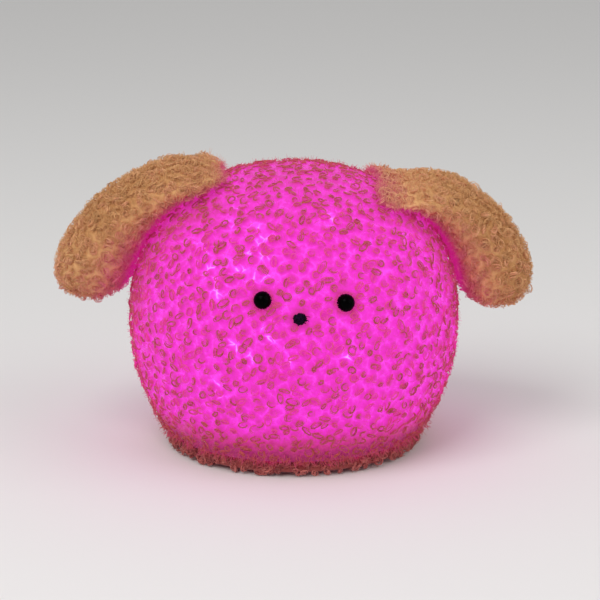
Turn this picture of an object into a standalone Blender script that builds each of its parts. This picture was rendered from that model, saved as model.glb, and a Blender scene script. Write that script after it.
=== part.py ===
"""A plush night light: a curly fleece puppy coat, with floppy ears, pulled over a soft ball lamp.

The lamp stands on four pads under a moulded tray. The tray and the chassis above it clamp the lip
of a silicone shade, and hold the battery, the control board and the ring of LEDs. The coat fits
over the shade and closes under it with an elastic hem. Front is -Y, up is +Z, and the origin is on
the floor, under the middle of the ball.
"""

import math
from collections import namedtuple

import bmesh
import bpy
import numpy as np
from mathutils import Vector

MM = 0.001

# Fits that many pieces share.
REST_GAP = 0.3 * MM  # between pieces that lie on, are sewn to or screwed to each other
OVERRUN = 2 * MM  # how far a cutter runs past what it cuts
BITE = 0.5 * MM  # how deep a moulded boss runs into the wall that carries it
MERGE = 0.01 * MM  # points this close are one

# The coat: a fleece ball, with the curly pile counted in its thickness.
COAT_WIDTH = 156 * MM
COAT_HEIGHT = 134 * MM
COAT_WIDEST_Z = 60 * MM
COAT_THICKNESS = 6.8 * MM
COAT_BACKING = 1.6 * MM  # what is left of it where an eye and its washer squeeze it
CROWN_SQUARENESS = 2.25  # of the ball's profile above its widest: 2 is an ellipse, more is squarer

# The rolled hem under the coat, and the elastic in it.
HEM_LIFT = 0.3 * MM
HEM_HEIGHT = 6.6 * MM
HEM_INSET = 2.5 * MM
HEM_SQUARENESS = 2.6
ELASTIC_THICKNESS = 1.0 * MM
ELASTIC_HEIGHT = 4.5 * MM
COAT_FOOT_Z = HEM_LIFT + HEM_HEIGHT + REST_GAP

# The eyes: turned plastic domes on ribbed posts, each locked behind the backing by a washer.
EYE_SPACING = 37.2 * MM
EYE_SHIFT = 0.7 * MM  # of both to the +X side, and
EYE_SLANT = 1.7 * MM  # how much lower the one on that side is: they are set by hand
EYE_Z = 84.8 * MM
EYE_RADIUS = 4 * MM
EYE_DOME = 4.4 * MM
EYE_RIM = 0.6 * MM
POST_RADIUS = 1.4 * MM
POST_RIB = 0.2 * MM
POST_RIBS = 3
WASHER_RADIUS = 4.6 * MM
WASHER_THICKNESS = 1.4 * MM
EYE_SINK = COAT_THICKNESS - WASHER_THICKNESS - COAT_BACKING - 2 * REST_GAP

# The nose: a knob of black thread wound over a few stitches through the fleece.
NOSE_X = -1.5 * MM  # stitched a little off centre
NOSE_Z = 77.8 * MM
NOSE_RADIUS = 3.2 * MM
NOSE_PROUD = 0.9 * MM
NOSE_SINK = 2.2 * MM
NOSE_NECK = 1.5 * MM
NOSE_UNDERSIDE_SHARE = 0.8

# The ears: lobes of two fleece layers, sewn on near the crown along a rolled seam, which is the
# line they flop about. They lie over the ball's curve from front to back, widest along the seam,
# and swell towards their blunt tips. Sewn and stuffed by hand, they aren't quite a pair. Leans are
# from straight up, about the ball's middle.
RIGHT_EAR_ROOT_LEAN = math.radians(33)  # of the seam
RIGHT_EAR_TIP_LEAN = math.radians(87)
RIGHT_EAR_SEAM_RADIUS = 2.5 * MM
RIGHT_EAR_THICKNESS = 34.4 * MM
RIGHT_EAR_ROOT_WIDTH = 72 * MM
RIGHT_EAR_SWELL_POWER = 1.7
LEFT_EAR_ROOT_LEAN = math.radians(32)
LEFT_EAR_TIP_LEAN = math.radians(83)
LEFT_EAR_SEAM_RADIUS = 5.5 * MM
LEFT_EAR_THICKNESS = 36.2 * MM
LEFT_EAR_ROOT_WIDTH = 58 * MM
LEFT_EAR_SWELL_POWER = 1.25
EAR_TIP_WIDTH = 43 * MM
EAR_STANDOFF = 1.6 * MM  # how far the tip stands off the ball
EAR_NARROWING_POWER = 2.0  # more than 1 narrows the lobe faster near its seam
EAR_TIP_STARTS_SHARE = 0.74
EAR_TIP_BLUNTNESS = 2.2  # of the tip's outline along the ear, and
EAR_TIP_ROUNDNESS = 2.2  # across it
EAR_TIP_CUT = 0.99  # the share of the tip's length at which a small flat end closes it
EAR_SEAM_ROLL = 0.15  # the share of its width that the seam's rolled end draws in
EAR_SQUARENESS = 2.4
EAR_RINGS = 11
EAR_RING_CROWDING = 1.25  # more than 1 brings the rings closer together towards the tip
EAR_RING_POINTS = 20

Ear = namedtuple("Ear", "side root_lean tip_lean seam_radius thickness root_width swell_power")
RIGHT_EAR = Ear(
    1, RIGHT_EAR_ROOT_LEAN, RIGHT_EAR_TIP_LEAN, RIGHT_EAR_SEAM_RADIUS, RIGHT_EAR_THICKNESS,
    RIGHT_EAR_ROOT_WIDTH, RIGHT_EAR_SWELL_POWER,
)
LEFT_EAR = Ear(
    -1, LEFT_EAR_ROOT_LEAN, LEFT_EAR_TIP_LEAN, LEFT_EAR_SEAM_RADIUS, LEFT_EAR_THICKNESS,
    LEFT_EAR_ROOT_WIDTH, LEFT_EAR_SWELL_POWER,
)

# The battery, a single cylindrical cell across the back half of the tray.
CELL_RADIUS = 9.2 * MM
CELL_LENGTH = 62 * MM
CELL_Y = 14.5 * MM
CELL_CAP_RADIUS = 3 * MM
CELL_CAP = 1.2 * MM
CELL_SHOULDER = 0.8 * MM
SADDLE_FLOOR = 0.8 * MM
SADDLE_WIDTH = 4 * MM
SADDLE_SPACING = 40 * MM
SADDLE_DEPTH = 16 * MM
SADDLE_HEIGHT = 7 * MM
FOAM_WIDTH = 30 * MM
FOAM_DEPTH = 12 * MM

# The control board, over the front half of the tray.
BOARD_THICKNESS = 1.6 * MM
BOARD_WIDTH = 52 * MM
BOARD_DEPTH = 26 * MM
BOARD_Y = -19.5 * MM
BOARD_Z = 12.2 * MM
BOARD_EDGE = 4 * MM  # from the board's edges to its screws
BOARD_POST_RADIUS = 2.6 * MM
CHIP_SIDE = 7 * MM
CHIP_HEIGHT = 1.6 * MM
COIL_RADIUS = 3 * MM
COIL_HEIGHT = 3.2 * MM
PLUG_SIZE = (6 * MM, 4.5 * MM, 4.5 * MM)
SENSOR_RADIUS = 2.4 * MM
SENSOR_LENGTH = 10 * MM
SENSOR_LIP = 0.4 * MM
BOARD_TOP = BOARD_Z + BOARD_THICKNESS
BOARD_POSTS = [
    (side * (BOARD_WIDTH / 2 - BOARD_EDGE), BOARD_Y + row * (BOARD_DEPTH / 2 - BOARD_EDGE))
    for side, row in ((-1, 1), (1, -1), (-1, -1), (1, 1))
]
BOARD_SCREWED = BOARD_POSTS[:2]

# The tray: the moulded plastic floor of the lamp, as wide as the cell and the board need.
FOOT_PROUD = 1.5 * MM
TRAY_FLOOR = 2.2 * MM
TRAY_WALL = 2.2 * MM
TRAY_WALL_HEIGHT = 12 * MM
FLANGE_THICKNESS = 2.0 * MM
FLANGE_REACH = 5.0 * MM
SLIP_FIT = 0.4 * MM  # between the tray's wall and what slides down round it
WIRE_ROOM = 3.9 * MM  # past the cell's corners
BOARD_ROOM = 1.2 * MM  # past the board's corners
TRAY_INNER_RADIUS = max(
    math.hypot(CELL_LENGTH / 2, CELL_Y + CELL_RADIUS) + WIRE_ROOM,
    math.hypot(BOARD_WIDTH / 2, BOARD_DEPTH / 2 - BOARD_Y) + BOARD_ROOM,
)
PLINTH_RADIUS = TRAY_INNER_RADIUS + TRAY_WALL
FLANGE_RADIUS = PLINTH_RADIUS + FLANGE_REACH
TRAY_FLOOR_TOP = FOOT_PROUD + TRAY_FLOOR
FLANGE_TOP = COAT_FOOT_Z + FLANGE_THICKNESS
CELL_Z = TRAY_FLOOR_TOP + SADDLE_FLOOR + REST_GAP + CELL_RADIUS
ELASTIC_RADIUS = PLINTH_RADIUS + SLIP_FIT

# The shade: a soft silicone ball inside the coat, with a lip that the tray and chassis clamp.
SHADE_WALL = 2.8 * MM
LIP_THICKNESS = 2.5 * MM
LIP_BEAD_WIDTH = 2.2 * MM
LIP_BEAD_HEIGHT = 2.5 * MM
SHADE_INSET = COAT_THICKNESS + REST_GAP
LIP_Z = FLANGE_TOP + REST_GAP
LIP_TOP = LIP_Z + LIP_THICKNESS

# The ball's halves above and below its widest. The lower one draws in until the shade's skirt
# just hides the tray's flange.
BALL_RADIUS = COAT_WIDTH / 2
BALL_UP = COAT_HEIGHT - COAT_WIDEST_Z
SKIRT_SHARE = (FLANGE_RADIUS + REST_GAP + SHADE_WALL) / (BALL_RADIUS - SHADE_INSET)
BALL_DOWN = SHADE_INSET + (COAT_WIDEST_Z - COAT_FOOT_Z) / math.sqrt(1 - SKIRT_SHARE ** 2)

# The screws that hold tray and chassis together, from below.
CASE_SCREWS = 4
SCREW_SHANK_RADIUS = 1.4 * MM
SCREW_HEAD_RADIUS = 2.8 * MM
SCREW_HEAD_HEIGHT = 2.0 * MM
SCREW_LENGTH = 12 * MM
SCREW_BOSS_RADIUS = 4 * MM
SCREW_SEAT_THICKNESS = 2.2 * MM
SCREW_RECESS = 0.5 * MM  # how far a head lies above the tray's underside
SCREW_CIRCLE = TRAY_INNER_RADIUS - SCREW_BOSS_RADIUS - REST_GAP
SCREW_HEAD_Z = FOOT_PROUD + SCREW_RECESS
SCREW_SEAT_Z = SCREW_HEAD_Z + SCREW_HEAD_HEIGHT + REST_GAP
SCREW_SEAT_TOP = SCREW_SEAT_Z + SCREW_SEAT_THICKNESS
CROWN_SHARE = 0.7  # of a head's radius that is flat on top
SLOT_SHARE = 1.1  # of a head's radius, the length of the cross slot, and
SLOT_WIDTH_SHARE = 0.28  # its width, and
SLOT_DEPTH_SHARE = 0.6  # of a head's height, its depth
POINT_SHARE = 1.5  # of a shank's radius, the length of its point

# The small screws of both boards.
BOARD_SCREW_RADIUS = 0.9 * MM
BOARD_SCREW_HEAD_RADIUS = 1.8 * MM
BOARD_SCREW_HEAD = 1.2 * MM
BOARD_SCREW_LENGTH = 5 * MM

# The pads that the lamp stands on.
FEET = 4
FOOT_RADIUS = 5.5 * MM
FOOT_HEIGHT = 2.3 * MM
FOOT_EDGE = 0.4 * MM
FOOT_CIRCLE = TRAY_INNER_RADIUS - FOOT_RADIUS

# The power button, under the control board's switch.
BUTTON_X = -11 * MM
BUTTON_RADIUS = 5 * MM
BUTTON_RECESS = 0.5 * MM
BUTTON_FLANGE = 1.2 * MM
BUTTON_FLANGE_HEIGHT = 1.0 * MM
BUTTON_STEM_RADIUS = 2 * MM
BUTTON_EDGE = 0.5 * MM
BUTTON_TRAVEL = 0.6 * MM
SWITCH_SIDE = 6 * MM
SWITCH_HEIGHT = 3.5 * MM
SWITCH_PROUD = 1.0 * MM
PLUNGER_RADIUS = 1.6 * MM
PLUNGER_LENGTH = 2.2 * MM
SWITCH_Z = BOARD_Z - REST_GAP - SWITCH_HEIGHT
PLUNGER_Z = SWITCH_Z - SWITCH_PROUD

# The charging socket, a Type-C receptacle that stands on end under the control board.
SOCKET_X = 11 * MM
SOCKET_WIDTH = 8.94 * MM
SOCKET_DEPTH = 3.26 * MM
SOCKET_SHELL = 0.3 * MM
SOCKET_REACH = 6.5 * MM
TONGUE_WIDTH = 6.6 * MM
TONGUE_THICKNESS = 0.7 * MM
TONGUE_LENGTH = 4.4 * MM

# The charging light's pipe, between button and socket.
PIPE_RADIUS = 1.5 * MM
PIPE_HEAD = 1.0 * MM
PIPE_INSET = 5 * MM  # from the board's front edge
PIPE_Y = BOARD_Y - BOARD_DEPTH / 2 + PIPE_INSET

# The chassis: the moulded plate that screws down on the tray and carries the LEDs.
CHASSIS_Z = 26 * MM
CHASSIS_PLATE = 2.0 * MM
CHASSIS_SKIRT = 2.4 * MM
LEAD_HOLE_RADIUS = 3.5 * MM
SKIRT_INNER_RADIUS = PLINTH_RADIUS + SLIP_FIT
SKIRT_RADIUS = SKIRT_INNER_RADIUS + CHASSIS_SKIRT
CHASSIS_TOP = CHASSIS_Z + CHASSIS_PLATE

# The LED board, on top of the chassis, and the dome that spreads its light.
LED_BOARD_RADIUS = 28 * MM
LEDS = 6
LED_SIDE = 5 * MM
LED_HEIGHT = 1.6 * MM
LED_CIRCLE = 17 * MM
LED_SCREW_X = 23 * MM
DIFFUSER_RADIUS = 34 * MM
DIFFUSER_HEIGHT = 24 * MM
DIFFUSER_WALL = 1.5 * MM
DIFFUSER_RIM = 3 * MM
LED_BOARD_Z = CHASSIS_TOP + REST_GAP
LED_BOARD_TOP = LED_BOARD_Z + BOARD_THICKNESS

# The wires of the cell, and the cable to the LEDs.
WIRE_RADIUS = 0.6 * MM
CABLE_RADIUS = 0.9 * MM
WIRE_CLEARANCE = 3 * MM  # how far a wire swings out before it turns

# Facets round a large turned piece, and round a small one.
TURN_STEPS = 36
SMALL_STEPS = 16


def clear_scene():
    """Removes the startup scene's objects."""
    for obj in list(bpy.data.objects):
        bpy.data.objects.remove(obj, do_unlink=True)


def collection(name):
    made = bpy.data.collections.new(name)
    bpy.context.scene.collection.children.link(made)
    return made


clear_scene()
PARTS = collection("plush_night_light")
CUTTERS = collection("cutters")


def finish(name, colour, roughness, metallic=0.0, glow=None, glow_strength=0.0):
    """A Principled material of this colour, roughness and metallic value."""
    made = bpy.data.materials.new(name)
    made.use_nodes = True
    shader = made.node_tree.nodes["Principled BSDF"]
    shader.inputs["Base Color"].default_value = (*colour, 1.0)
    shader.inputs["Roughness"].default_value = roughness
    shader.inputs["Metallic"].default_value = metallic
    if glow:
        shader.inputs["Emission Color"].default_value = (*glow, 1.0)
        shader.inputs["Emission Strength"].default_value = glow_strength
    return made


LIT_FLEECE = finish("lit_fleece", (0.86, 0.22, 0.56), 0.95, glow=(1.0, 0.05, 0.7), glow_strength=0.6)
HEM_FLEECE = finish("hem_fleece", (0.55, 0.24, 0.17), 0.95)
EAR_FLEECE = finish("ear_fleece", (0.50, 0.25, 0.08), 0.95)
BLACK_GLOSS = finish("black_gloss", (0.005, 0.005, 0.006), 0.12)
BLACK_THREAD = finish("black_thread", (0.012, 0.008, 0.016), 0.7)
WHITE_ELASTIC = finish("white_elastic", (0.8, 0.78, 0.74), 0.85)
SILICONE = finish("silicone", (0.93, 0.86, 0.90), 0.45, glow=(1.0, 0.08, 0.75), glow_strength=1.0)
FROSTED = finish("frosted_plastic", (0.92, 0.92, 0.94), 0.4)
WHITE_ABS = finish("white_plastic", (0.85, 0.85, 0.83), 0.4)
GREY_RUBBER = finish("grey_rubber", (0.35, 0.35, 0.36), 0.8)
BOARD_GREEN = finish("board", (0.03, 0.20, 0.09), 0.5)
BOARD_WHITE = finish("white_board", (0.9, 0.9, 0.9), 0.5)
LED_RESIN = finish("led_resin", (0.95, 0.92, 0.70), 0.3, glow=(1.0, 0.1, 0.8), glow_strength=3.0)
CELL_WRAP = finish("cell_wrap", (0.05, 0.16, 0.42), 0.4)
GREY_FOAM = finish("grey_foam", (0.25, 0.25, 0.27), 0.95)
STEEL = finish("steel", (0.62, 0.62, 0.64), 0.3, metallic=1.0)
RED_LEAD = finish("red_lead", (0.60, 0.03, 0.02), 0.45)
BLACK_LEAD = finish("black_lead", (0.02, 0.02, 0.02), 0.45)
WHITE_LEAD = finish("white_lead", (0.8, 0.8, 0.8), 0.45)


def placed(name, data, surface, at=(0, 0, 0), facing=None):
    """A node in the parts collection, at a point, with its own +Z turned to face a direction."""
    obj = bpy.data.objects.new(name, data)
    PARTS.objects.link(obj)
    obj.location = at
    if facing is not None:
        obj.rotation_euler = Vector(facing).to_track_quat("Z", "Y").to_euler()
    if surface:
        data.materials.append(surface)
    return obj


def smooth(obj):
    obj.data.shade_smooth()
    obj.data.set_sharp_from_angle(angle=math.radians(35))
    return obj


def as_cutter(obj):
    """Takes a shape out of the model, to be used by Boolean modifiers only."""
    PARTS.objects.unlink(obj)
    CUTTERS.objects.link(obj)
    obj.hide_render = True
    obj.display_type = "WIRE"
    return obj


def boolean(obj, other, operation):
    """Joins another shape to this one or cuts it away, and keeps the other as a hidden helper."""
    modifier = obj.modifiers.new(other.name, "BOOLEAN")
    modifier.operation = operation
    modifier.object = as_cutter(other)
    return obj


def join(obj, other):
    return boolean(obj, other, "UNION")


def cut(obj, other):
    return boolean(obj, other, "DIFFERENCE")


def turned(name, profile, surface, steps=SMALL_STEPS, ring=False, at=(0, 0, 0), facing=None):
    """A (radius, height) profile turned about its own Z. The profile runs down the outside first.
    A ring's profile is a loop that stays off the axis."""
    mesh = bpy.data.meshes.new(name)
    edges = [(i, i + 1) for i in range(len(profile) - 1)]
    if ring:
        edges.append((len(profile) - 1, 0))
    mesh.from_pydata([(radius, 0, height) for radius, height in profile], edges, [])
    obj = placed(name, mesh, surface, at, facing)
    screw = obj.modifiers.new("turn", "SCREW")
    screw.steps = screw.render_steps = steps
    screw.use_merge_vertices = True
    screw.merge_threshold = MERGE
    screw.use_smooth_shade = True
    return obj


def rods(name, places, radius, low, high, surface=None, segments=SMALL_STEPS):
    """Upright cylinders of one size, from low to high, one at each (x, y) place, in one mesh."""
    shape = bmesh.new()
    for x, y in places:
        made = bmesh.ops.create_cone(
            shape, cap_ends=True, segments=segments, radius1=radius, radius2=radius, depth=high - low
        )
        bmesh.ops.translate(shape, verts=made["verts"], vec=(x, y, (low + high) / 2))
    mesh = bpy.data.meshes.new(name)
    shape.to_mesh(mesh)
    shape.free()
    return smooth(placed(name, mesh, surface))


def block(name, size, centre, surface=None):
    """A box of a size about a centre."""
    shape = bmesh.new()
    bmesh.ops.create_cube(shape, size=1)
    bmesh.ops.scale(shape, verts=shape.verts, vec=size)
    mesh = bpy.data.meshes.new(name)
    shape.to_mesh(mesh)
    shape.free()
    return placed(name, mesh, surface, centre)


def pill(name, width, depth, low, high, surface=None, at=(0, 0), arc_steps=8):
    """A flat outline with half-round ends, width along X, extruded from low to high."""
    end = width / 2 - depth / 2
    turns = np.linspace(-math.pi / 2, math.pi / 2, arc_steps + 1)
    outline = [(end + depth / 2 * math.cos(t), depth / 2 * math.sin(t)) for t in turns]
    outline += [(-x, -y) for x, y in outline]
    curve = bpy.data.curves.new(name, "CURVE")
    curve.dimensions = "2D"
    curve.fill_mode = "BOTH"
    curve.extrude = (high - low) / 2
    spline = curve.splines.new("POLY")
    spline.points.add(len(outline) - 1)
    for point, (x, y) in zip(spline.points, outline):
        point.co = (x, y, 0, 1)
    spline.use_cyclic_u = True
    return as_mesh(placed(name, curve, surface, (*at, (low + high) / 2)))


def as_mesh(curve_object):
    """The same shape as a mesh object, with the caps welded to the sides."""
    bpy.context.view_layer.update()
    graph = bpy.context.evaluated_depsgraph_get()
    mesh = bpy.data.meshes.new_from_object(curve_object.evaluated_get(graph))
    shape = bmesh.new()
    shape.from_mesh(mesh)
    bmesh.ops.remove_doubles(shape, verts=shape.verts, dist=MERGE)
    bmesh.ops.recalc_face_normals(shape, faces=shape.faces)
    shape.to_mesh(mesh)
    shape.free()
    name, matrix = curve_object.name, curve_object.matrix_world.copy()
    bpy.data.objects.remove(curve_object, do_unlink=True)
    obj = bpy.data.objects.new(name, mesh)
    PARTS.objects.link(obj)
    obj.matrix_world = matrix
    return obj


def smooth_route(points, per_span=4):
    """A Catmull-Rom curve through a route's own points, sampled evenly along each span."""
    ends = [2 * points[0] - points[1], *points, 2 * points[-1] - points[-2]]
    route = []
    for a, b, c, d in zip(ends, ends[1:], ends[2:], ends[3:]):
        for t in np.arange(per_span) / per_span:
            route.append(
                0.5 * (2 * b + (c - a) * t + (2 * a - 5 * b + 4 * c - d) * t * t
                       + (3 * b - a - 3 * c + d) * t ** 3)
            )
    return [*route, points[-1]]


def lead(name, points, radius, surface):
    """An insulated wire along a route."""
    route = smooth_route([Vector(p) for p in points])
    curve = bpy.data.curves.new(name, "CURVE")
    curve.dimensions = "3D"
    curve.bevel_depth = radius
    curve.bevel_resolution = 1
    curve.use_fill_caps = True
    spline = curve.splines.new("POLY")
    spline.points.add(len(route) - 1)
    for point, place in zip(spline.points, route):
        point.co = (*place, 1)
    return placed(name, curve, surface)


def around(count, radius, first=0.0):
    """Places evenly round a circle, the first at an angle from +X."""
    turns = [first + 2 * math.pi * i / count for i in range(count)]
    return [(radius * math.cos(t), radius * math.sin(t)) for t in turns]


# The ball: one shape that the coat, the shade and the face all follow.


def ball_half(z, inset):
    """The (height, squareness) of the half of the ball that this z is in."""
    if z > COAT_WIDEST_Z:
        return BALL_UP - inset, CROWN_SQUARENESS
    return BALL_DOWN - inset, 2


def ball_radius(z, inset=0.0):
    """The ball's radius at a height, for a surface that lies inset inside the coat's outside."""
    half, power = ball_half(z, inset)
    share = min(1, abs(z - COAT_WIDEST_Z) / half)
    return (BALL_RADIUS - inset) * (1 - share ** power) ** (1 / power)


def ball_profile(inset, foot_z, rows):
    """The ball's profile from the pole down to a height: half a superellipse above where the ball
    is widest, and part of an ellipse below it."""
    lowest = -math.asin((COAT_WIDEST_Z - foot_z) / (BALL_DOWN - inset))
    profile = []
    for turn in np.linspace(math.pi / 2, lowest, rows):
        half, power = ball_half(COAT_WIDEST_Z + turn, inset)
        across = max(0, math.cos(turn)) ** (2 / power)
        up = math.copysign(abs(math.sin(turn)) ** (2 / power), turn)
        profile.append(((BALL_RADIUS - inset) * across, COAT_WIDEST_Z + half * up))
    profile[0] = (0, profile[0][1])
    return profile


def on_coat(x, z):
    """The point at this x and height on the front of the coat, and the way out of it there."""
    radius = ball_radius(z)
    y = -math.sqrt(radius ** 2 - x ** 2)
    half, power = ball_half(z, 0)
    rise = (z - COAT_WIDEST_Z) / half
    level = (radius / BALL_RADIUS) ** (power - 1) / BALL_RADIUS
    up = math.copysign(abs(rise) ** (power - 1), rise) / half
    return Vector((x, y, z)), Vector((x / radius * level, y / radius * level, up)).normalized()


def eye(side_name, side, coat):
    """One safety eye with its washer, and the pockets that they press into the fleece. Heights in
    the profiles are from the coat's surface, and a minus sign goes into it."""
    at, out = on_coat(side * EYE_SPACING / 2 + EYE_SHIFT, EYE_Z - side * EYE_SLANT / 2)
    base = -EYE_SINK
    dome_turns = np.linspace(math.pi / 2, 0, 8)
    profile = [(EYE_RADIUS * math.cos(t), base + EYE_RIM + EYE_DOME * math.sin(t)) for t in dome_turns]
    profile += [(EYE_RADIUS, base), (POST_RADIUS, base)]
    step = (COAT_THICKNESS - EYE_SINK) / POST_RIBS
    for i in range(POST_RIBS):
        profile.append((POST_RADIUS + POST_RIB, base - (i + 0.5) * step))
        profile.append((POST_RADIUS, base - (i + 1) * step))
    profile.append((0, -COAT_THICKNESS))
    turned(f"eye_{side_name}", profile, BLACK_GLOSS, at=at, facing=out)

    bore = POST_RADIUS + POST_RIB + REST_GAP
    washer_top = -COAT_THICKNESS + WASHER_THICKNESS
    washer = [(bore, washer_top), (WASHER_RADIUS, washer_top)]
    washer += [(WASHER_RADIUS, -COAT_THICKNESS), (bore, -COAT_THICKNESS)]
    turned(f"eye_washer_{side_name}", washer, FROSTED, ring=True, at=at, facing=out)

    pocket, seat = EYE_RADIUS + REST_GAP, WASHER_RADIUS + REST_GAP
    hollow = [
        (0, EYE_DOME), (pocket, EYE_DOME), (pocket, base - REST_GAP), (bore, base - REST_GAP),
        (bore, washer_top + REST_GAP), (seat, washer_top + REST_GAP),
        (seat, -COAT_THICKNESS - OVERRUN), (0, -COAT_THICKNESS - OVERRUN),
    ]
    cut(coat, turned(f"eye_pocket_{side_name}", hollow, None, at=at, facing=out))


def nose(coat):
    at, out = on_coat(NOSE_X, NOSE_Z)
    turns = np.linspace(math.pi / 2, 0, 7)
    height = NOSE_PROUD + NOSE_SINK / 2
    profile = [(NOSE_RADIUS * math.cos(t), -NOSE_SINK / 2 + height * math.sin(t)) for t in turns]
    profile += [(NOSE_RADIUS * NOSE_UNDERSIDE_SHARE, -NOSE_SINK), (NOSE_NECK, -NOSE_SINK)]
    profile += [(NOSE_NECK, -COAT_THICKNESS), (0, -COAT_THICKNESS)]
    turned("nose_knot", profile, BLACK_THREAD, at=at, facing=out)
    pocket, hole = NOSE_RADIUS + REST_GAP, NOSE_NECK + REST_GAP
    hollow = [
        (0, NOSE_PROUD + OVERRUN), (pocket, NOSE_PROUD + OVERRUN), (pocket, -NOSE_SINK - REST_GAP),
        (hole, -NOSE_SINK - REST_GAP), (hole, -COAT_THICKNESS - OVERRUN), (0, -COAT_THICKNESS - OVERRUN),
    ]
    cut(coat, turned("nose_pocket", hollow, None, at=at, facing=out))


def coat_body():
    """The fleece ball: one wall with its mouth underneath, pierced for the eyes and the nose."""
    outside = ball_profile(0, COAT_FOOT_Z, rows=20)
    inside = ball_profile(COAT_THICKNESS, COAT_FOOT_Z, rows=13)
    coat = turned("coat_body", outside + inside[::-1], LIT_FLEECE, steps=TURN_STEPS)
    eye("right", 1, coat)
    eye("left", -1, coat)
    nose(coat)
    return coat


def ball_reach(way):
    """How far the coat's upper half reaches from the ball's middle in a direction."""
    across = math.hypot(way.x, way.y) / BALL_RADIUS
    power = CROWN_SQUARENESS
    return (across ** power + (way.z / BALL_UP) ** power) ** (-1 / power)


def ear_point(lean, height, across):
    """The point this high off the ball and this far across, at a lean on the +X side."""
    out = Vector((math.sin(lean), 0, math.cos(lean)))
    turn = across / (ball_reach(out) + height)
    way = math.cos(turn) * out + Vector((0, math.sin(turn), 0))
    return Vector((0, 0, COAT_WIDEST_Z)) + (ball_reach(way) + height) * way


def ear_station(ear_shape, share):
    """(lean, height of its middle off the ball, half thickness, half width) at a share of the ear's
    length. The lobe swells from its seam and narrows, and its blunt tip is a superellipse."""
    lean = ear_shape.root_lean + share * (ear_shape.tip_lean - ear_shape.root_lean)
    swell = 1 - (1 - share) ** ear_shape.swell_power
    tip_share = max(0, share - EAR_TIP_STARTS_SHARE) / (1 - EAR_TIP_STARTS_SHARE)
    tip = (1 - min(tip_share, EAR_TIP_CUT) ** EAR_TIP_BLUNTNESS) ** (1 / EAR_TIP_ROUNDNESS)
    half = ear_shape.seam_radius + (ear_shape.thickness / 2 - ear_shape.seam_radius) * swell
    width = EAR_TIP_WIDTH + (ear_shape.root_width - EAR_TIP_WIDTH) * (1 - share) ** EAR_NARROWING_POWER
    return lean, REST_GAP + EAR_STANDOFF * share + half, half * tip, width / 2 * tip


def ear_rings(ear_shape):
    """Every ring of the lobe, from the seam's rolled end to the tip."""
    lean, height, half, half_width = ear_station(ear_shape, 0)
    rings = []
    for turn in np.radians((12, 40, 68)):
        back = half * math.cos(turn) / (BALL_RADIUS + height)
        drawn_in = 1 - EAR_SEAM_ROLL * (1 - math.sin(turn))
        rings.append((lean - back, height, half * math.sin(turn), half_width * drawn_in))
    shares = [1 - (1 - i / (EAR_RINGS - 1)) ** EAR_RING_CROWDING for i in range(EAR_RINGS)]
    return rings + [ear_station(ear_shape, share) for share in shares]


def ear(name, ear_shape):
    """One lobe, lofted through superellipse rings. Its origin is on the seam that it turns about."""
    lean, height = ear_station(ear_shape, 0)[:2]
    hinge = ear_point(lean, height, 0)
    power = 2 / EAR_SQUARENESS
    turns = 2 * math.pi * np.arange(EAR_RING_POINTS) / EAR_RING_POINTS
    shape = bmesh.new()
    loops = []
    for lean, height, half, half_width in ear_rings(ear_shape):
        loop = []
        for turn in turns:
            up = half * math.copysign(abs(math.cos(turn)) ** power, math.cos(turn))
            across = half_width * math.copysign(abs(math.sin(turn)) ** power, math.sin(turn))
            point = ear_point(lean, height + up, across) - hinge
            loop.append(shape.verts.new((ear_shape.side * point.x, point.y, point.z)))
        loops.append(loop)
    bmesh.ops.bridge_loops(
        shape, edges=[shape.edges.new((a, b)) for loop in loops for a, b in zip(loop, loop[1:] + loop[:1])]
    )
    shape.faces.new(loops[0])
    shape.faces.new(loops[-1])
    bmesh.ops.recalc_face_normals(shape, faces=shape.faces)
    mesh = bpy.data.meshes.new(name)
    shape.to_mesh(mesh)
    shape.free()
    return smooth(placed(name, mesh, EAR_FLEECE, (ear_shape.side * hinge.x, hinge.y, hinge.z)))


def hem():
    """The rolled hem round the coat's mouth, a superellipse ring, and the elastic inside it that
    grips the tray's plinth."""
    inner = ELASTIC_RADIUS + ELASTIC_THICKNESS + REST_GAP
    outer = ball_radius(COAT_FOOT_Z) - HEM_INSET
    middle, half = (inner + outer) / 2, (outer - inner) / 2
    rise = HEM_HEIGHT / 2
    power = 2 / HEM_SQUARENESS
    profile = []
    for turn in np.linspace(math.pi / 2, -3 * math.pi / 2, 13)[:-1]:
        across = math.copysign(abs(math.cos(turn)) ** power, math.cos(turn))
        up = math.copysign(abs(math.sin(turn)) ** power, math.sin(turn))
        profile.append((middle + half * across, HEM_LIFT + rise + rise * up))
    turned("coat_hem", profile, HEM_FLEECE, steps=TURN_STEPS, ring=True)
    low = HEM_LIFT + (HEM_HEIGHT - ELASTIC_HEIGHT) / 2
    high = low + ELASTIC_HEIGHT
    outside = ELASTIC_RADIUS + ELASTIC_THICKNESS
    band = [(ELASTIC_RADIUS, high), (outside, high), (outside, low), (ELASTIC_RADIUS, low)]
    turned("hem_elastic", band, WHITE_ELASTIC, steps=TURN_STEPS, ring=True)


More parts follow.
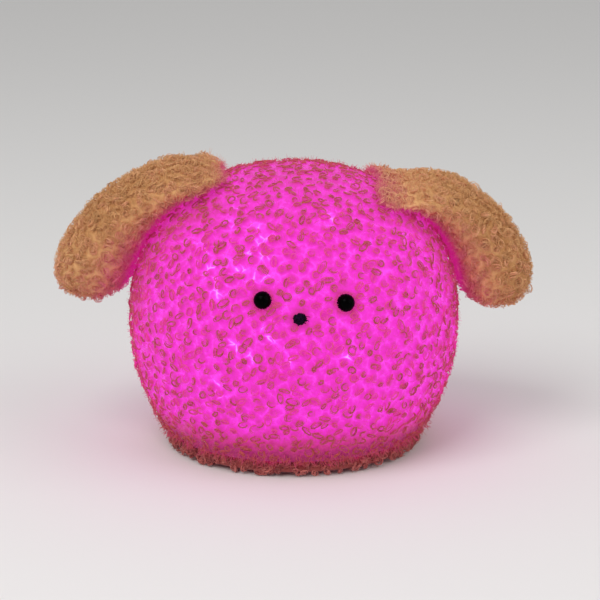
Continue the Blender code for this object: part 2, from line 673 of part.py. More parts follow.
def shade():
    """The silicone ball. Its profile goes down the outside, in under the flange's edge, round the
    clamped lip and its bead, and back up the inside."""
    skirt = ball_radius(COAT_FOOT_Z, SHADE_INSET) - SHADE_WALL
    bead = SKIRT_RADIUS + REST_GAP
    bead_top = LIP_TOP + LIP_BEAD_HEIGHT
    lip = [
        (skirt, COAT_FOOT_Z), (skirt, LIP_Z), (SKIRT_INNER_RADIUS, LIP_Z), (SKIRT_INNER_RADIUS, LIP_TOP),
        (bead, LIP_TOP), (bead, bead_top), (bead + LIP_BEAD_WIDTH, bead_top),
        (bead + LIP_BEAD_WIDTH, LIP_TOP),
    ]
    outside = ball_profile(SHADE_INSET, COAT_FOOT_Z, rows=13)
    inside = ball_profile(SHADE_INSET + SHADE_WALL, LIP_TOP, rows=11)
    turned("silicone_shade", outside + lip + inside[::-1], SILICONE, steps=30)


def tray():
    """The floor, plinth wall and flange in one moulding, with seats for the screws, posts for the
    board and saddles for the cell, and openings for the button, socket and light pipe."""
    wall_top = TRAY_FLOOR_TOP + TRAY_WALL_HEIGHT
    profile = [
        (0, TRAY_FLOOR_TOP), (TRAY_INNER_RADIUS, TRAY_FLOOR_TOP), (TRAY_INNER_RADIUS, wall_top),
        (PLINTH_RADIUS, wall_top), (PLINTH_RADIUS, FLANGE_TOP), (FLANGE_RADIUS, FLANGE_TOP),
        (FLANGE_RADIUS, COAT_FOOT_Z), (PLINTH_RADIUS, COAT_FOOT_Z), (PLINTH_RADIUS, FOOT_PROUD),
        (0, FOOT_PROUD),
    ]
    made = turned("base_tray", profile, WHITE_ABS, steps=TURN_STEPS)
    screws = around(CASE_SCREWS, SCREW_CIRCLE)
    buried = TRAY_FLOOR_TOP - BITE
    join(made, rods("screw_seats", screws, SCREW_BOSS_RADIUS, buried, SCREW_SEAT_TOP))
    join(made, rods("board_posts", BOARD_POSTS, BOARD_POST_RADIUS, buried, BOARD_Z - REST_GAP))
    for side in (-1, 1):
        size = (SADDLE_WIDTH, SADDLE_DEPTH, SADDLE_HEIGHT + BITE)
        centre = (side * SADDLE_SPACING / 2, CELL_Y, buried + size[2] / 2)
        join(made, block(f"saddle_{side}", size, centre))
    saddle_cut = [
        (0, CELL_LENGTH / 2), (CELL_RADIUS + REST_GAP, CELL_LENGTH / 2),
        (CELL_RADIUS + REST_GAP, -CELL_LENGTH / 2), (0, -CELL_LENGTH / 2),
    ]
    cut(made, turned("saddle_cut", saddle_cut, None, steps=24, at=(0, CELL_Y, CELL_Z), facing=(1, 0, 0)))

    below = FOOT_PROUD - OVERRUN
    cut(made, rods("head_wells", screws, SCREW_HEAD_RADIUS + REST_GAP, below, SCREW_SEAT_Z))
    cut(made, rods("shank_holes", screws, SCREW_SHANK_RADIUS + REST_GAP, below, SCREW_SEAT_TOP + OVERRUN))
    feet = around(FEET, FOOT_CIRCLE, math.pi / FEET)
    cut(made, rods("foot_recesses", feet, FOOT_RADIUS + REST_GAP, below, FOOT_HEIGHT + REST_GAP))
    pilot = BOARD_Z + BOARD_THICKNESS - BOARD_SCREW_LENGTH - REST_GAP
    cut(made, rods("post_pilots", BOARD_SCREWED, BOARD_SCREW_RADIUS + REST_GAP, pilot, BOARD_Z, segments=12))
    button = [(BUTTON_X, BOARD_Y)]
    cut(made, rods("button_hole", button, BUTTON_RADIUS + REST_GAP, below, TRAY_FLOOR_TOP + OVERRUN, segments=20))
    socket_slot = pill(
        "socket_slot", SOCKET_WIDTH + 2 * REST_GAP, SOCKET_DEPTH + 2 * REST_GAP, below,
        TRAY_FLOOR_TOP + OVERRUN, at=(SOCKET_X, BOARD_Y),
    )
    cut(made, socket_slot)
    pipe = [(0, PIPE_Y)]
    cut(made, rods("pipe_hole", pipe, PIPE_RADIUS + REST_GAP, below, TRAY_FLOOR_TOP + OVERRUN))


def feet():
    """Round rubber pads, glued into recesses under the tray."""
    profile = [
        (0, FOOT_HEIGHT), (FOOT_RADIUS, FOOT_HEIGHT), (FOOT_RADIUS, FOOT_EDGE),
        (FOOT_RADIUS - FOOT_EDGE, 0), (0, 0),
    ]
    for i, (x, y) in enumerate(around(FEET, FOOT_CIRCLE, math.pi / FEET)):
        turned(f"foot_pad_{i + 1}", profile, GREY_RUBBER, steps=20, at=(x, y, 0))


def screw(name, x, y, head_z, head_radius, head_height, shank_radius, length, points_up):
    """A pan-head screw. Its profile is drawn with the point down, and turned over for one that is
    driven upwards from below. head_z is the outer face of the head."""
    tip = shank_radius * POINT_SHARE
    crown = head_radius * CROWN_SHARE
    profile = [
        (0, head_height), (crown, head_height), (head_radius, head_height / 2), (head_radius, 0),
        (shank_radius, 0), (shank_radius, tip - length), (0, -length),
    ]
    face = (0, 0, -1) if points_up else (0, 0, 1)
    base = head_z + head_height if points_up else head_z - head_height
    made = turned(name, profile, STEEL, steps=12, at=(x, y, base), facing=face)
    length, width = head_radius * SLOT_SHARE, head_radius * SLOT_WIDTH_SHARE
    deep = head_height * SLOT_DEPTH_SHARE
    for i, size in enumerate(((length, width, 2 * deep), (width, length, 2 * deep))):
        cut(made, block(f"{name}_slot_{i + 1}", size, (x, y, head_z)))


def case_screws():
    for i, (x, y) in enumerate(around(CASE_SCREWS, SCREW_CIRCLE)):
        screw(
            f"case_screw_{i + 1}", x, y, SCREW_HEAD_Z, SCREW_HEAD_RADIUS, SCREW_HEAD_HEIGHT,
            SCREW_SHANK_RADIUS, SCREW_LENGTH, points_up=True,
        )


def chassis():
    """A plate with a skirt that presses the shade's lip down on the tray's flange. Four bosses
    reach down to the tray's screw seats, and two short ones take the LED board's screws."""
    bottom = LIP_TOP + REST_GAP
    profile = [
        (0, CHASSIS_TOP), (SKIRT_RADIUS, CHASSIS_TOP), (SKIRT_RADIUS, bottom),
        (SKIRT_INNER_RADIUS, bottom), (SKIRT_INNER_RADIUS, CHASSIS_Z), (0, CHASSIS_Z),
    ]
    made = turned("chassis_plate", profile, WHITE_ABS, steps=TURN_STEPS)
    screws = around(CASE_SCREWS, SCREW_CIRCLE)
    foot = SCREW_SEAT_TOP + REST_GAP
    join(made, rods("chassis_bosses", screws, SCREW_BOSS_RADIUS, foot, CHASSIS_Z + BITE))
    pilot_top = SCREW_HEAD_Z + SCREW_HEAD_HEIGHT + SCREW_LENGTH + REST_GAP
    cut(made, rods("boss_pilots", screws, SCREW_SHANK_RADIUS + REST_GAP, foot - OVERRUN, pilot_top))
    led_screws = [(side * LED_SCREW_X, 0) for side in (-1, 1)]
    low = LED_BOARD_TOP - BOARD_SCREW_LENGTH - REST_GAP
    join(made, rods("led_bosses", led_screws, BOARD_POST_RADIUS, low - BITE, CHASSIS_Z + BITE))
    cut(made, rods("led_pilots", led_screws, BOARD_SCREW_RADIUS + REST_GAP, low, CHASSIS_TOP + OVERRUN))
    cut(made, rods("lead_hole", [(0, 0)], LEAD_HOLE_RADIUS, CHASSIS_Z - OVERRUN, CHASSIS_TOP + OVERRUN))


def led_board():
    """The round white board, its plug for the lead, its six LEDs and its two screws."""
    made = rods("led_board", [(0, 0)], LED_BOARD_RADIUS, LED_BOARD_Z, LED_BOARD_TOP, BOARD_WHITE, 32)
    centre = (LEAD_HOLE_RADIUS + CABLE_RADIUS * 3 + PLUG_SIZE[0] / 2, 0, LED_BOARD_TOP - BITE + PLUG_SIZE[2] / 2)
    join(made, block("led_plug", PLUG_SIZE, centre))
    led_screws = [(side * LED_SCREW_X, 0) for side in (-1, 1)]
    holes = BOARD_SCREW_RADIUS + REST_GAP
    low, high = LED_BOARD_Z - OVERRUN, LED_BOARD_TOP + OVERRUN
    cut(made, rods("led_board_holes", led_screws, holes, low, high))
    cut(made, rods("led_lead_hole", [(0, 0)], LEAD_HOLE_RADIUS, low, high))
    for i, (x, y) in enumerate(around(LEDS, LED_CIRCLE, math.pi / LEDS)):
        centre = (x, y, LED_BOARD_TOP + REST_GAP + LED_HEIGHT / 2)
        led = block(f"led_{i + 1}", (LED_SIDE, LED_SIDE, LED_HEIGHT), centre, LED_RESIN)
        led.rotation_euler = (0, 0, math.atan2(y, x))
    for i, (x, y) in enumerate(led_screws):
        screw(
            f"led_board_screw_{i + 1}", x, y, LED_BOARD_TOP + REST_GAP + BOARD_SCREW_HEAD,
            BOARD_SCREW_HEAD_RADIUS, BOARD_SCREW_HEAD, BOARD_SCREW_RADIUS, BOARD_SCREW_LENGTH,
            points_up=False,
        )


def diffuser():
    """A frosted dome on a short rim, open below, which stands on the chassis round the LEDs."""
    foot = LED_BOARD_Z
    shoulder = foot + DIFFUSER_RIM
    rise = DIFFUSER_HEIGHT - DIFFUSER_RIM
    turns = np.linspace(math.pi / 2, 0, 8)
    inner_radius, inner_rise = DIFFUSER_RADIUS - DIFFUSER_WALL, rise - DIFFUSER_WALL
    outside = [(DIFFUSER_RADIUS * math.cos(t), shoulder + rise * math.sin(t)) for t in turns]
    inside = [(inner_radius * math.cos(t), shoulder + inner_rise * math.sin(t)) for t in turns]
    profile = [*outside, (DIFFUSER_RADIUS, foot), (inner_radius, foot), *inside[::-1]]
    turned("diffuser_dome", profile, FROSTED, steps=24)


def control_board():
    """The green board and what is soldered flat on it, joined to it, and its two screws. The
    switch, socket and tap sensor are pieces of their own."""
    made = block(
        "control_board", (BOARD_WIDTH, BOARD_DEPTH, BOARD_THICKNESS),
        (0, BOARD_Y, BOARD_Z + BOARD_THICKNESS / 2), BOARD_GREEN,
    )
    chip_low = BOARD_TOP - BITE
    chip = (CHIP_SIDE, CHIP_SIDE, CHIP_HEIGHT + BITE)
    join(made, block("controller_chip", chip, (0, BOARD_Y, chip_low + chip[2] / 2)))
    charger = (CHIP_SIDE / 2, CHIP_SIDE / 2, CHIP_HEIGHT + BITE)
    join(made, block("charger_chip", charger, (SOCKET_X, BOARD_Y - CHIP_SIDE, chip_low + charger[2] / 2)))
    coil = [(BUTTON_X, BOARD_Y)]
    join(made, rods("inductor", coil, COIL_RADIUS, chip_low, BOARD_TOP + COIL_HEIGHT))
    for name, x in (("battery_plug", cell_plug_x()), ("led_lead_plug", led_plug_x())):
        centre = (x, plug_y(), chip_low + PLUG_SIZE[2] / 2)
        join(made, block(name, PLUG_SIZE, centre))
    holes = BOARD_SCREW_RADIUS + REST_GAP
    cut(made, rods("board_holes", BOARD_SCREWED, holes, BOARD_Z - OVERRUN, BOARD_TOP + OVERRUN, segments=12))
    for i, (x, y) in enumerate(BOARD_SCREWED):
        screw(
            f"control_board_screw_{i + 1}", x, y, BOARD_TOP + REST_GAP + BOARD_SCREW_HEAD,
            BOARD_SCREW_HEAD_RADIUS, BOARD_SCREW_HEAD, BOARD_SCREW_RADIUS, BOARD_SCREW_LENGTH,
            points_up=False,
        )


def plug_y():
    """The plugs stand along the board's back edge."""
    return BOARD_Y + BOARD_DEPTH / 2 - PLUG_SIZE[1] / 2 - BITE


def cell_plug_x():
    return BUTTON_X


def led_plug_x():
    return SOCKET_X / 2


def button_and_switch():
    """The button's cap, the switch's plunger above it, which it pushes, and the switch's case. The
    cap and plunger have their origins on the line that they slide along."""
    face = FOOT_PROUD + BUTTON_RECESS
    shelf = TRAY_FLOOR_TOP + REST_GAP
    flange_radius = BUTTON_RADIUS + BUTTON_FLANGE
    stem_top = PLUNGER_Z - REST_GAP
    cap = [
        (0, stem_top), (BUTTON_STEM_RADIUS, stem_top), (BUTTON_STEM_RADIUS, shelf + BUTTON_FLANGE_HEIGHT),
        (flange_radius, shelf + BUTTON_FLANGE_HEIGHT), (flange_radius, shelf), (BUTTON_RADIUS, shelf),
        (BUTTON_RADIUS, face + BUTTON_EDGE), (BUTTON_RADIUS - BUTTON_EDGE, face), (0, face),
    ]
    turned("power_button", cap, WHITE_ABS, steps=20, at=(BUTTON_X, BOARD_Y, 0))
    top = PLUNGER_Z + PLUNGER_LENGTH
    plunger = [(0, top), (PLUNGER_RADIUS, top), (PLUNGER_RADIUS, PLUNGER_Z), (0, PLUNGER_Z)]
    turned("switch_plunger", plunger, BLACK_GLOSS, steps=16, at=(BUTTON_X, BOARD_Y, 0))
    centre = (BUTTON_X, BOARD_Y, SWITCH_Z + SWITCH_HEIGHT / 2)
    case = block("tact_switch", (SWITCH_SIDE, SWITCH_SIDE, SWITCH_HEIGHT), centre, BLACK_GLOSS)
    bore_top = top + BUTTON_TRAVEL + REST_GAP
    bore = PLUNGER_RADIUS + REST_GAP
    cut(case, rods("switch_bore", [(BUTTON_X, BOARD_Y)], bore, SWITCH_Z - OVERRUN, bore_top))


def socket():
    """The Type-C receptacle: a drawn steel shell, open below, with the contact tongue inside."""
    face = FOOT_PROUD + REST_GAP
    roof = face + SOCKET_REACH
    place = (SOCKET_X, BOARD_Y)
    shell = pill("charging_socket", SOCKET_WIDTH, SOCKET_DEPTH, face, BOARD_Z - REST_GAP, STEEL, at=place)
    shell.data.materials.append(STEEL)
    inner_width, inner_depth = SOCKET_WIDTH - 2 * SOCKET_SHELL, SOCKET_DEPTH - 2 * SOCKET_SHELL
    cut(shell, pill("socket_mouth", inner_width, inner_depth, face - OVERRUN, roof, at=place))
    tongue = (TONGUE_WIDTH, TONGUE_THICKNESS, TONGUE_LENGTH + BITE)
    join(shell, block("socket_tongue", tongue, (*place, roof + BITE - tongue[2] / 2)))


def light_pipe():
    """A clear rod that carries the charging light down to the tray's underside."""
    head_z = TRAY_FLOOR_TOP + REST_GAP
    top = BOARD_Z - REST_GAP
    head = PIPE_RADIUS + PIPE_HEAD
    profile = [
        (0, top), (PIPE_RADIUS, top), (PIPE_RADIUS, head_z + PIPE_HEAD), (head, head_z + PIPE_HEAD),
        (head, head_z), (PIPE_RADIUS, head_z), (PIPE_RADIUS, FOOT_PROUD), (0, FOOT_PROUD),
    ]
    turned("charge_light_pipe", profile, FROSTED, steps=16, at=(0, PIPE_Y, 0))


def tap_sensor():
    """The spring sensor that feels a pat on the lamp: a small can lying on the board."""
    half = SENSOR_LENGTH / 2
    profile = [
        (0, half), (SENSOR_RADIUS - SENSOR_LIP, half), (SENSOR_RADIUS, half - SENSOR_LIP),
        (SENSOR_RADIUS, -half), (0, -half),
    ]
    at = (SOCKET_X + BOARD_EDGE, BOARD_Y, BOARD_TOP + REST_GAP + SENSOR_RADIUS)
    turned("tap_sensor", profile, STEEL, steps=16, at=at, facing=(0, 1, 0))


def battery():
    """The cell in its saddles, and the foam pad that the chassis presses on it."""
    half = CELL_LENGTH / 2
    profile = [
        (0, half + CELL_CAP), (CELL_CAP_RADIUS, half + CELL_CAP), (CELL_CAP_RADIUS, half),
        (CELL_RADIUS - CELL_SHOULDER, half), (CELL_RADIUS, half - CELL_SHOULDER),
        (CELL_RADIUS, CELL_SHOULDER - half), (CELL_RADIUS - CELL_SHOULDER, -half), (0, -half),
    ]
    turned("battery_cell", profile, CELL_WRAP, steps=24, at=(0, CELL_Y, CELL_Z), facing=(-1, 0, 0))
    low, high = CELL_Z + CELL_RADIUS + REST_GAP, CHASSIS_Z - REST_GAP
    centre = (0, CELL_Y, (low + high) / 2)
    block("battery_foam", (FOAM_WIDTH, FOAM_DEPTH, high - low), centre, GREY_FOAM)


def leads():
    """Two wires from the cell's ends to their plug, and the cable up through the chassis to the
    LED board. Each starts and ends square to what it meets, a gap short of it."""
    plug_back = plug_y() + PLUG_SIZE[1] / 2 + REST_GAP
    wire_z = BOARD_TOP + PLUG_SIZE[2] / 2
    clear = WIRE_CLEARANCE
    under = CELL_Y - CELL_RADIUS
    for name, side, end, surface in (
        ("battery_lead_red", -1, CELL_LENGTH / 2 + CELL_CAP, RED_LEAD),
        ("battery_lead_black", 1, CELL_LENGTH / 2, BLACK_LEAD),
    ):
        exit_x = side * (end + REST_GAP)
        plug_x = cell_plug_x() + side * WIRE_RADIUS * 2
        lane = plug_back + (clear if side < 0 else clear * 0.6)
        points = [
            (exit_x, CELL_Y, CELL_Z), (exit_x + side * clear / 2, CELL_Y, CELL_Z),
            (exit_x + side * clear, CELL_Y - clear, CELL_Z + clear / 2),
            (exit_x + side * clear / 3, under - clear / 3, wire_z),
            (side * CELL_LENGTH / 3, lane, wire_z), (plug_x + side * clear * 1.5, lane, wire_z),
            (plug_x, lane - clear / 3, wire_z), (plug_x, plug_back, wire_z),
        ]
        lead(name, points, WIRE_RADIUS, surface)
    start = Vector((led_plug_x(), plug_y(), BOARD_TOP - BITE + PLUG_SIZE[2] + REST_GAP))
    up = CABLE_RADIUS * 3
    top = LED_BOARD_TOP + PLUG_SIZE[2] / 2
    into = LEAD_HOLE_RADIUS + CABLE_RADIUS * 3 - REST_GAP
    points = [
        start, start + Vector((0, 0, up)), (start.x / 2, start.y / 2, (start.z + CHASSIS_Z) / 2 + up / 2),
        (0, 0, CHASSIS_Z), (0, 0, LED_BOARD_Z), (CABLE_RADIUS, 0, LED_BOARD_TOP),
        (into / 2, 0, top - CABLE_RADIUS), (into - CABLE_RADIUS, 0, top), (into, 0, top),
    ]
    lead("led_lead", points, CABLE_RADIUS, WHITE_LEAD)


coat_body()
hem()
ear("ear_right", RIGHT_EAR)
ear("ear_left", LEFT_EAR)
shade()
tray()
feet()
case_screws()
chassis()
led_board()
diffuser()
control_board()
button_and_switch()
socket()
light_pipe()
tap_sensor()
battery()
leads()
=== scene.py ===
"""A plush night light: a glowing ball lamp in a curly fleece puppy coat.

The sections follow the lamp as it is put together, from the tray up to the ears, and then come the
floor, the light and the camera. Lengths are in metres, front is -Y and up is +Z.
"""

import math
from types import SimpleNamespace

import bpy
import numpy as np
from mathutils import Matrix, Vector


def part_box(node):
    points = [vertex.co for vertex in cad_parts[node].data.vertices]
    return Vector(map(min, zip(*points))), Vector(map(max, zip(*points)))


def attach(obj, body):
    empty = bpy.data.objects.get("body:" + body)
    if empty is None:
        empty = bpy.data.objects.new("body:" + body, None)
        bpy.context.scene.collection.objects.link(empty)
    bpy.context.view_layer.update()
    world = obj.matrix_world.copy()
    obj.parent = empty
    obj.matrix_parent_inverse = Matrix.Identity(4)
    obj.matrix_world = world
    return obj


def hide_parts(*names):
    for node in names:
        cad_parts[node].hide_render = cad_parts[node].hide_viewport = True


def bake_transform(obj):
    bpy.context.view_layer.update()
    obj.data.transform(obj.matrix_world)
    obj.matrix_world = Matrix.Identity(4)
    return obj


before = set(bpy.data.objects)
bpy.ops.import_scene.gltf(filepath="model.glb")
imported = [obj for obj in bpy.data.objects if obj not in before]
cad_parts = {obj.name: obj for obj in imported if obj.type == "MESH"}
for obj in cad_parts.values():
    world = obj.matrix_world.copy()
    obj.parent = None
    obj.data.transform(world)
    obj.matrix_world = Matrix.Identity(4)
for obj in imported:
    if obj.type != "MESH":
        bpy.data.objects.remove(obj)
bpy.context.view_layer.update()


# The moulded pieces: tray, chassis and button in white ABS, and the frosted light pipe and dome.
# They are injection moulded with a fine spark-eroded texture on every outer face.
def link(tree, out, into):
    """Joins an output socket to an input socket."""
    tree.links.new(out, into)


def object_place(tree):
    """The object coordinates."""
    return tree.nodes.new("ShaderNodeTexCoord").outputs["Object"]


def noise_of(tree, grain, detail=3.0, stretch=(1, 1, 1)):
    """A noise on object coordinates, with lumps of this size in metres."""
    mapping = tree.nodes.new("ShaderNodeMapping")
    mapping.inputs["Scale"].default_value = stretch
    noise = tree.nodes.new("ShaderNodeTexNoise")
    noise.inputs["Scale"].default_value = 1 / grain
    noise.inputs["Detail"].default_value = detail
    link(tree, object_place(tree), mapping.inputs["Vector"])
    link(tree, mapping.outputs["Vector"], noise.inputs["Vector"])
    return noise.outputs["Fac"]


def ramp_of(tree, share, stops):
    """A colour ramp read at a share, from (place, colour) stops."""
    ramp = tree.nodes.new("ShaderNodeValToRGB")
    while len(ramp.color_ramp.elements) < len(stops):
        ramp.color_ramp.elements.new(0.5)
    for element, (place, colour) in zip(ramp.color_ramp.elements, stops):
        element.position = place
        element.color = (*colour, 1)
    link(tree, share, ramp.inputs["Fac"])
    return ramp.outputs["Color"]


def bump_of(tree, share, height):
    """A bump of this height in metres, raised by a share."""
    bump = tree.nodes.new("ShaderNodeBump")
    bump.inputs["Distance"].default_value = height
    bump.inputs["Strength"].default_value = 1.0
    link(tree, share, bump.inputs["Height"])
    return bump.outputs["Normal"]


def surface_of(name, **sockets):
    """A new material, its node tree and its shader, with values on the shader's own sockets."""
    made = bpy.data.materials.new(name)
    made.use_nodes = True
    shader = made.node_tree.nodes["Principled BSDF"]
    for socket, value in sockets.items():
        shader.inputs[socket.replace("_", " ")].default_value = value
    return made, made.node_tree, shader


def finish(name, dark, pale, roughness, grain, height, drift=0.02, stretch=(1, 1, 1), **sockets):
    """A finish whose colour drifts slowly between two and whose grain is raised as a bump. drift
    and grain are the sizes of their lumps."""
    made, tree, shader = surface_of(name, Roughness=roughness, **sockets)
    colour = ramp_of(tree, noise_of(tree, drift), [(0.35, dark), (0.65, pale)])
    link(tree, colour, shader.inputs["Base Color"])
    link(tree, bump_of(tree, noise_of(tree, grain, 4, stretch), height), shader.inputs["Normal"])
    return made


def dress(nodes, *look, **more):
    made = finish(*look, **more)
    for node in nodes:
        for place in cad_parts[node].material_slots:
            place.material = made


dress(
    ["base_tray", "chassis_plate", "power_button"],
    "white_abs", (0.70, 0.70, 0.67), (0.78, 0.78, 0.76), 0.42, 0.0004, 0.00003,
)
dress(
    ["charge_light_pipe", "diffuser_dome", "eye_washer_right", "eye_washer_left"],
    "frosted_acrylic", (0.80, 0.80, 0.82), (0.88, 0.88, 0.90), 0.5, 0.0006, 0.00002,
)

# The four rubber pads, punched from grey sheet and glued into the tray's recesses.
dress(
    [f"foot_pad_{i}" for i in (1, 2, 3, 4)],
    "pad_rubber", (0.10, 0.10, 0.105), (0.15, 0.15, 0.155), 0.8, 0.0003, 0.00008,
)

# The screws, socket and tap sensor: plated steel, drawn or turned, with faint brushing round them.
dress(
    ["charging_socket", "tap_sensor", *[f"case_screw_{i}" for i in (1, 2, 3, 4)],
     *[f"{board}_screw_{i}" for board in ("control_board", "led_board") for i in (1, 2)]],
    "plated_steel", (0.55, 0.55, 0.57), (0.68, 0.68, 0.70), 0.28, 0.0003, 0.00001,
    drift=0.004, stretch=(1, 1, 12), Metallic=1.0,
)

# The boards, glass fibre under solder mask with its weave just showing, and what sits on them.
dress(["control_board"], "green_mask", (0.015, 0.13, 0.05), (0.03, 0.2, 0.08), 0.35, 0.0008, 0.00002)
dress(["led_board"], "white_mask", (0.75, 0.75, 0.74), (0.84, 0.84, 0.83), 0.4, 0.0008, 0.00002)
dress(
    ["tact_switch", "switch_plunger"],
    "switch_black", (0.01, 0.01, 0.011), (0.02, 0.02, 0.022), 0.3, 0.0005, 0.00002,
)
dress(
    [f"led_{i}" for i in range(1, 7)],
    "led_resin", (0.8, 0.75, 0.5), (0.9, 0.85, 0.6), 0.2, 0.001, 0.00001,
    Emission_Color=(1.0, 0.1, 0.8, 1), Emission_Strength=2.0,
)

# The cell in blue shrink wrap, the grey foam that holds it down, and the insulated wires.
dress(["battery_cell"], "cell_wrap", (0.02, 0.10, 0.32), (0.035, 0.14, 0.40), 0.25, 0.003, 0.00005)
dress(["battery_foam"], "grey_foam", (0.10, 0.10, 0.11), (0.17, 0.17, 0.18), 0.95, 0.0006, 0.0004)
for node, name, dark, pale in (
    ("battery_lead_red", "red_wire", (0.45, 0.02, 0.015), (0.55, 0.03, 0.02)),
    ("battery_lead_black", "black_wire", (0.012, 0.012, 0.012), (0.02, 0.02, 0.02)),
    ("led_lead", "white_wire", (0.7, 0.7, 0.69), (0.8, 0.8, 0.79)),
):
    dress([node], name, dark, pale, 0.45, 0.001, 0.00002)

# The silicone shade, cast in one piece, milky, and lit from inside by the LEDs.
dress(
    ["silicone_shade"], "milky_silicone", (0.8, 0.6, 0.75), (0.9, 0.7, 0.84), 0.45, 0.004, 0.0001,
    Emission_Color=(1.0, 0.05, 0.75, 1), Emission_Strength=0.6,
)

# The coat's knitted backing: one ball of thin cloth, stretched over the shade, lit right through.
# Where its pile parts, the light comes out brightest, in thin branching lines.
BALL_RADIUS = 0.078
WIDEST_Z = 0.060
BALL_UP = 0.0740
BALL_DOWN = 0.0870
CROWN_POWER = 2.25
COAT_FOOT_Z = 0.0072
BACKING_INSET = 0.0028
BACKING_THICKNESS = 0.0012


def rounded(values, power):
    """Values from -1 to 1 brought to a power, with their own sign kept."""
    return np.sign(values) * np.abs(values) ** power


def ball_grid(inset, rows, columns):
    """Points of the coat's ball at an inset, in rows from the pole down to the coat's foot. Above
    the widest level the profile is a superellipse and below it an ellipse, turned about Z."""
    lowest = -np.arcsin((WIDEST_Z - COAT_FOOT_Z) / (BALL_DOWN - inset))
    turn = np.linspace(math.pi / 2, lowest, rows)
    power = np.where(turn > 0, 2 / CROWN_POWER, 1)
    half = np.where(turn > 0, BALL_UP - inset, BALL_DOWN - inset)
    radius = (BALL_RADIUS - inset) * np.clip(np.cos(turn), 0, 1) ** power
    height = WIDEST_Z + half * rounded(np.sin(turn), power)
    angle = 2 * math.pi * np.arange(columns) / columns
    grid = np.empty((rows, columns, 3))
    grid[..., 0] = radius[:, None] * np.cos(angle)
    grid[..., 1] = radius[:, None] * np.sin(angle)
    grid[..., 2] = height[:, None]
    return grid


def in_scene(name, data):
    """A new object of a mesh, a lamp or a camera, brought into the scene."""
    made = bpy.data.objects.new(name, data)
    bpy.context.scene.collection.objects.link(made)
    return made


def piece(name, points, corners, starts, surface, body, slot, bend=None, **shares):
    """A mesh piece from points, the corners of its faces end to end, and where each face starts.
    When bend is given, the piece is left out of its body with its transform applied to its points; the
    stretch that bend holds is not used.
    shares are named values from 0 to 1 for its material to read, one for all points or for each."""
    mesh = bpy.data.meshes.new(name)
    mesh.vertices.add(len(points))
    mesh.vertices.foreach_set("co", points.astype(np.float32).ravel())
    mesh.loops.add(len(corners))
    mesh.loops.foreach_set("vertex_index", corners.astype(np.int32))
    mesh.polygons.add(len(starts))
    mesh.polygons.foreach_set("loop_start", starts.astype(np.int32))
    mesh.update(calc_edges=True)
    mesh.shade_smooth()
    for share_name, values in shares.items():
        held = mesh.attributes.new(share_name, "FLOAT", "POINT")
        held.data.foreach_set("value", (values * np.ones(len(points))).astype(np.float32))
    mesh.materials.append(surface)
    made = in_scene(name, mesh)
    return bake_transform(made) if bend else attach(made, body)


def loft(grid):
    """The points and faces of one closed tube (rings, sides, 3) or of many: a quad between each two
    neighbours on each two rings, and a face over each end. Sides x rings points outwards."""
    near = np.arange(grid.size // 3).reshape(-1, *grid.shape[-3:-1])
    far = np.roll(near, -1, axis=2)
    quads = np.stack([near[:, :-1], near[:, 1:], far[:, 1:], far[:, :-1]], axis=-1).reshape(-1, 4)
    ends = np.concatenate([near[:, 0], near[:, -1, ::-1]])
    counts = np.concatenate([np.full(len(quads), 4), np.full(len(ends), near.shape[2])])
    corners = np.concatenate([quads.ravel(), ends.ravel()])
    return grid.reshape(-1, 3), corners, np.concatenate([[0], np.cumsum(counts)[:-1]])


# Where the curls stand: evenly over the ball, but pushed off the partings and off the face.
CURL_SPACING = 0.0055
CURL_STRAY = 0.18
PARTING_REACH = 0.0020
EYE_CLEARING = 0.0062
NOSE_CLEARING = 0.0052
GOLDEN_TURN = (math.sqrt(5) - 1) / 2

# Each parting is a line between two (x, z) places on the front of the ball, in millimetres.
PARTINGS = np.array([
    ((-21, 115), (-18, 114)), ((-15, 112), (-18, 114)), ((-18, 114), (-19, 106)),
    ((-28, 124), (-28, 120)), ((-32, 116), (-29, 115)), ((-46, 105), (-42, 104)),
    ((-44, 96), (-38, 97)), ((-33, 98), (-26, 97)), ((-38, 93), (-38, 87)), ((-41, 86), (-38, 88)),
    ((-38, 88), (-35, 89)), ((-24, 105), (-16, 104)), ((-22, 94), (-19, 97)), ((-19, 97), (-16, 95)),
    ((-33, 65), (-30, 62)), ((-26, 61), (-24, 59)), ((-16, 71), (-14, 69)), ((19, 59), (23, 61)),
    ((-39, 45), (-38, 40)), ((12, 120), (15, 117)), ((-6, 59), (-5, 57)),
]) * 0.001


def unit(vectors):
    """Vectors brought to a length of 1."""
    return vectors / np.maximum(np.linalg.norm(vectors, axis=-1, keepdims=True), 1e-12)


def smooth_step(share):
    """A share eased at both ends: three times its square less twice its cube."""
    share = np.clip(share, 0, 1)
    return share * share * (3 - 2 * share)


def onto_ball(ends):
    """The (x, z) ends of lines, brought onto the front of the ball."""
    x, z = ends[..., 0], ends[..., 1]
    upper = z > WIDEST_Z
    power = np.where(upper, CROWN_POWER, 2)
    half = np.where(upper, BALL_UP, BALL_DOWN)
    radius = BALL_RADIUS * (1 - (np.abs(z - WIDEST_Z) / half) ** power) ** (1 / power)
    return np.stack([x, -np.sqrt(np.maximum(radius ** 2 - x ** 2, 0)), z], axis=-1)


def off_lines(points, ends):
    """How far each point is from the nearest of some straight lines, as a vector away from it."""
    start, step = ends[:, 0], ends[:, 1] - ends[:, 0]
    from_start = points[:, None] - start
    along = np.clip((from_start * step).sum(2) / (step ** 2).sum(1), 0, 1)
    off = from_start - along[..., None] * step
    nearest = np.linalg.norm(off, axis=2).argmin(axis=1)
    return off[np.arange(len(points)), nearest]


def grid_normals(grid):
    """The way out at each point of a closed-round grid: down the rows x along the columns."""
    down = np.gradient(grid, axis=0)
    along = (np.roll(grid, -1, axis=1) - np.roll(grid, 1, axis=1)) / 2
    return unit(np.cross(down, along))


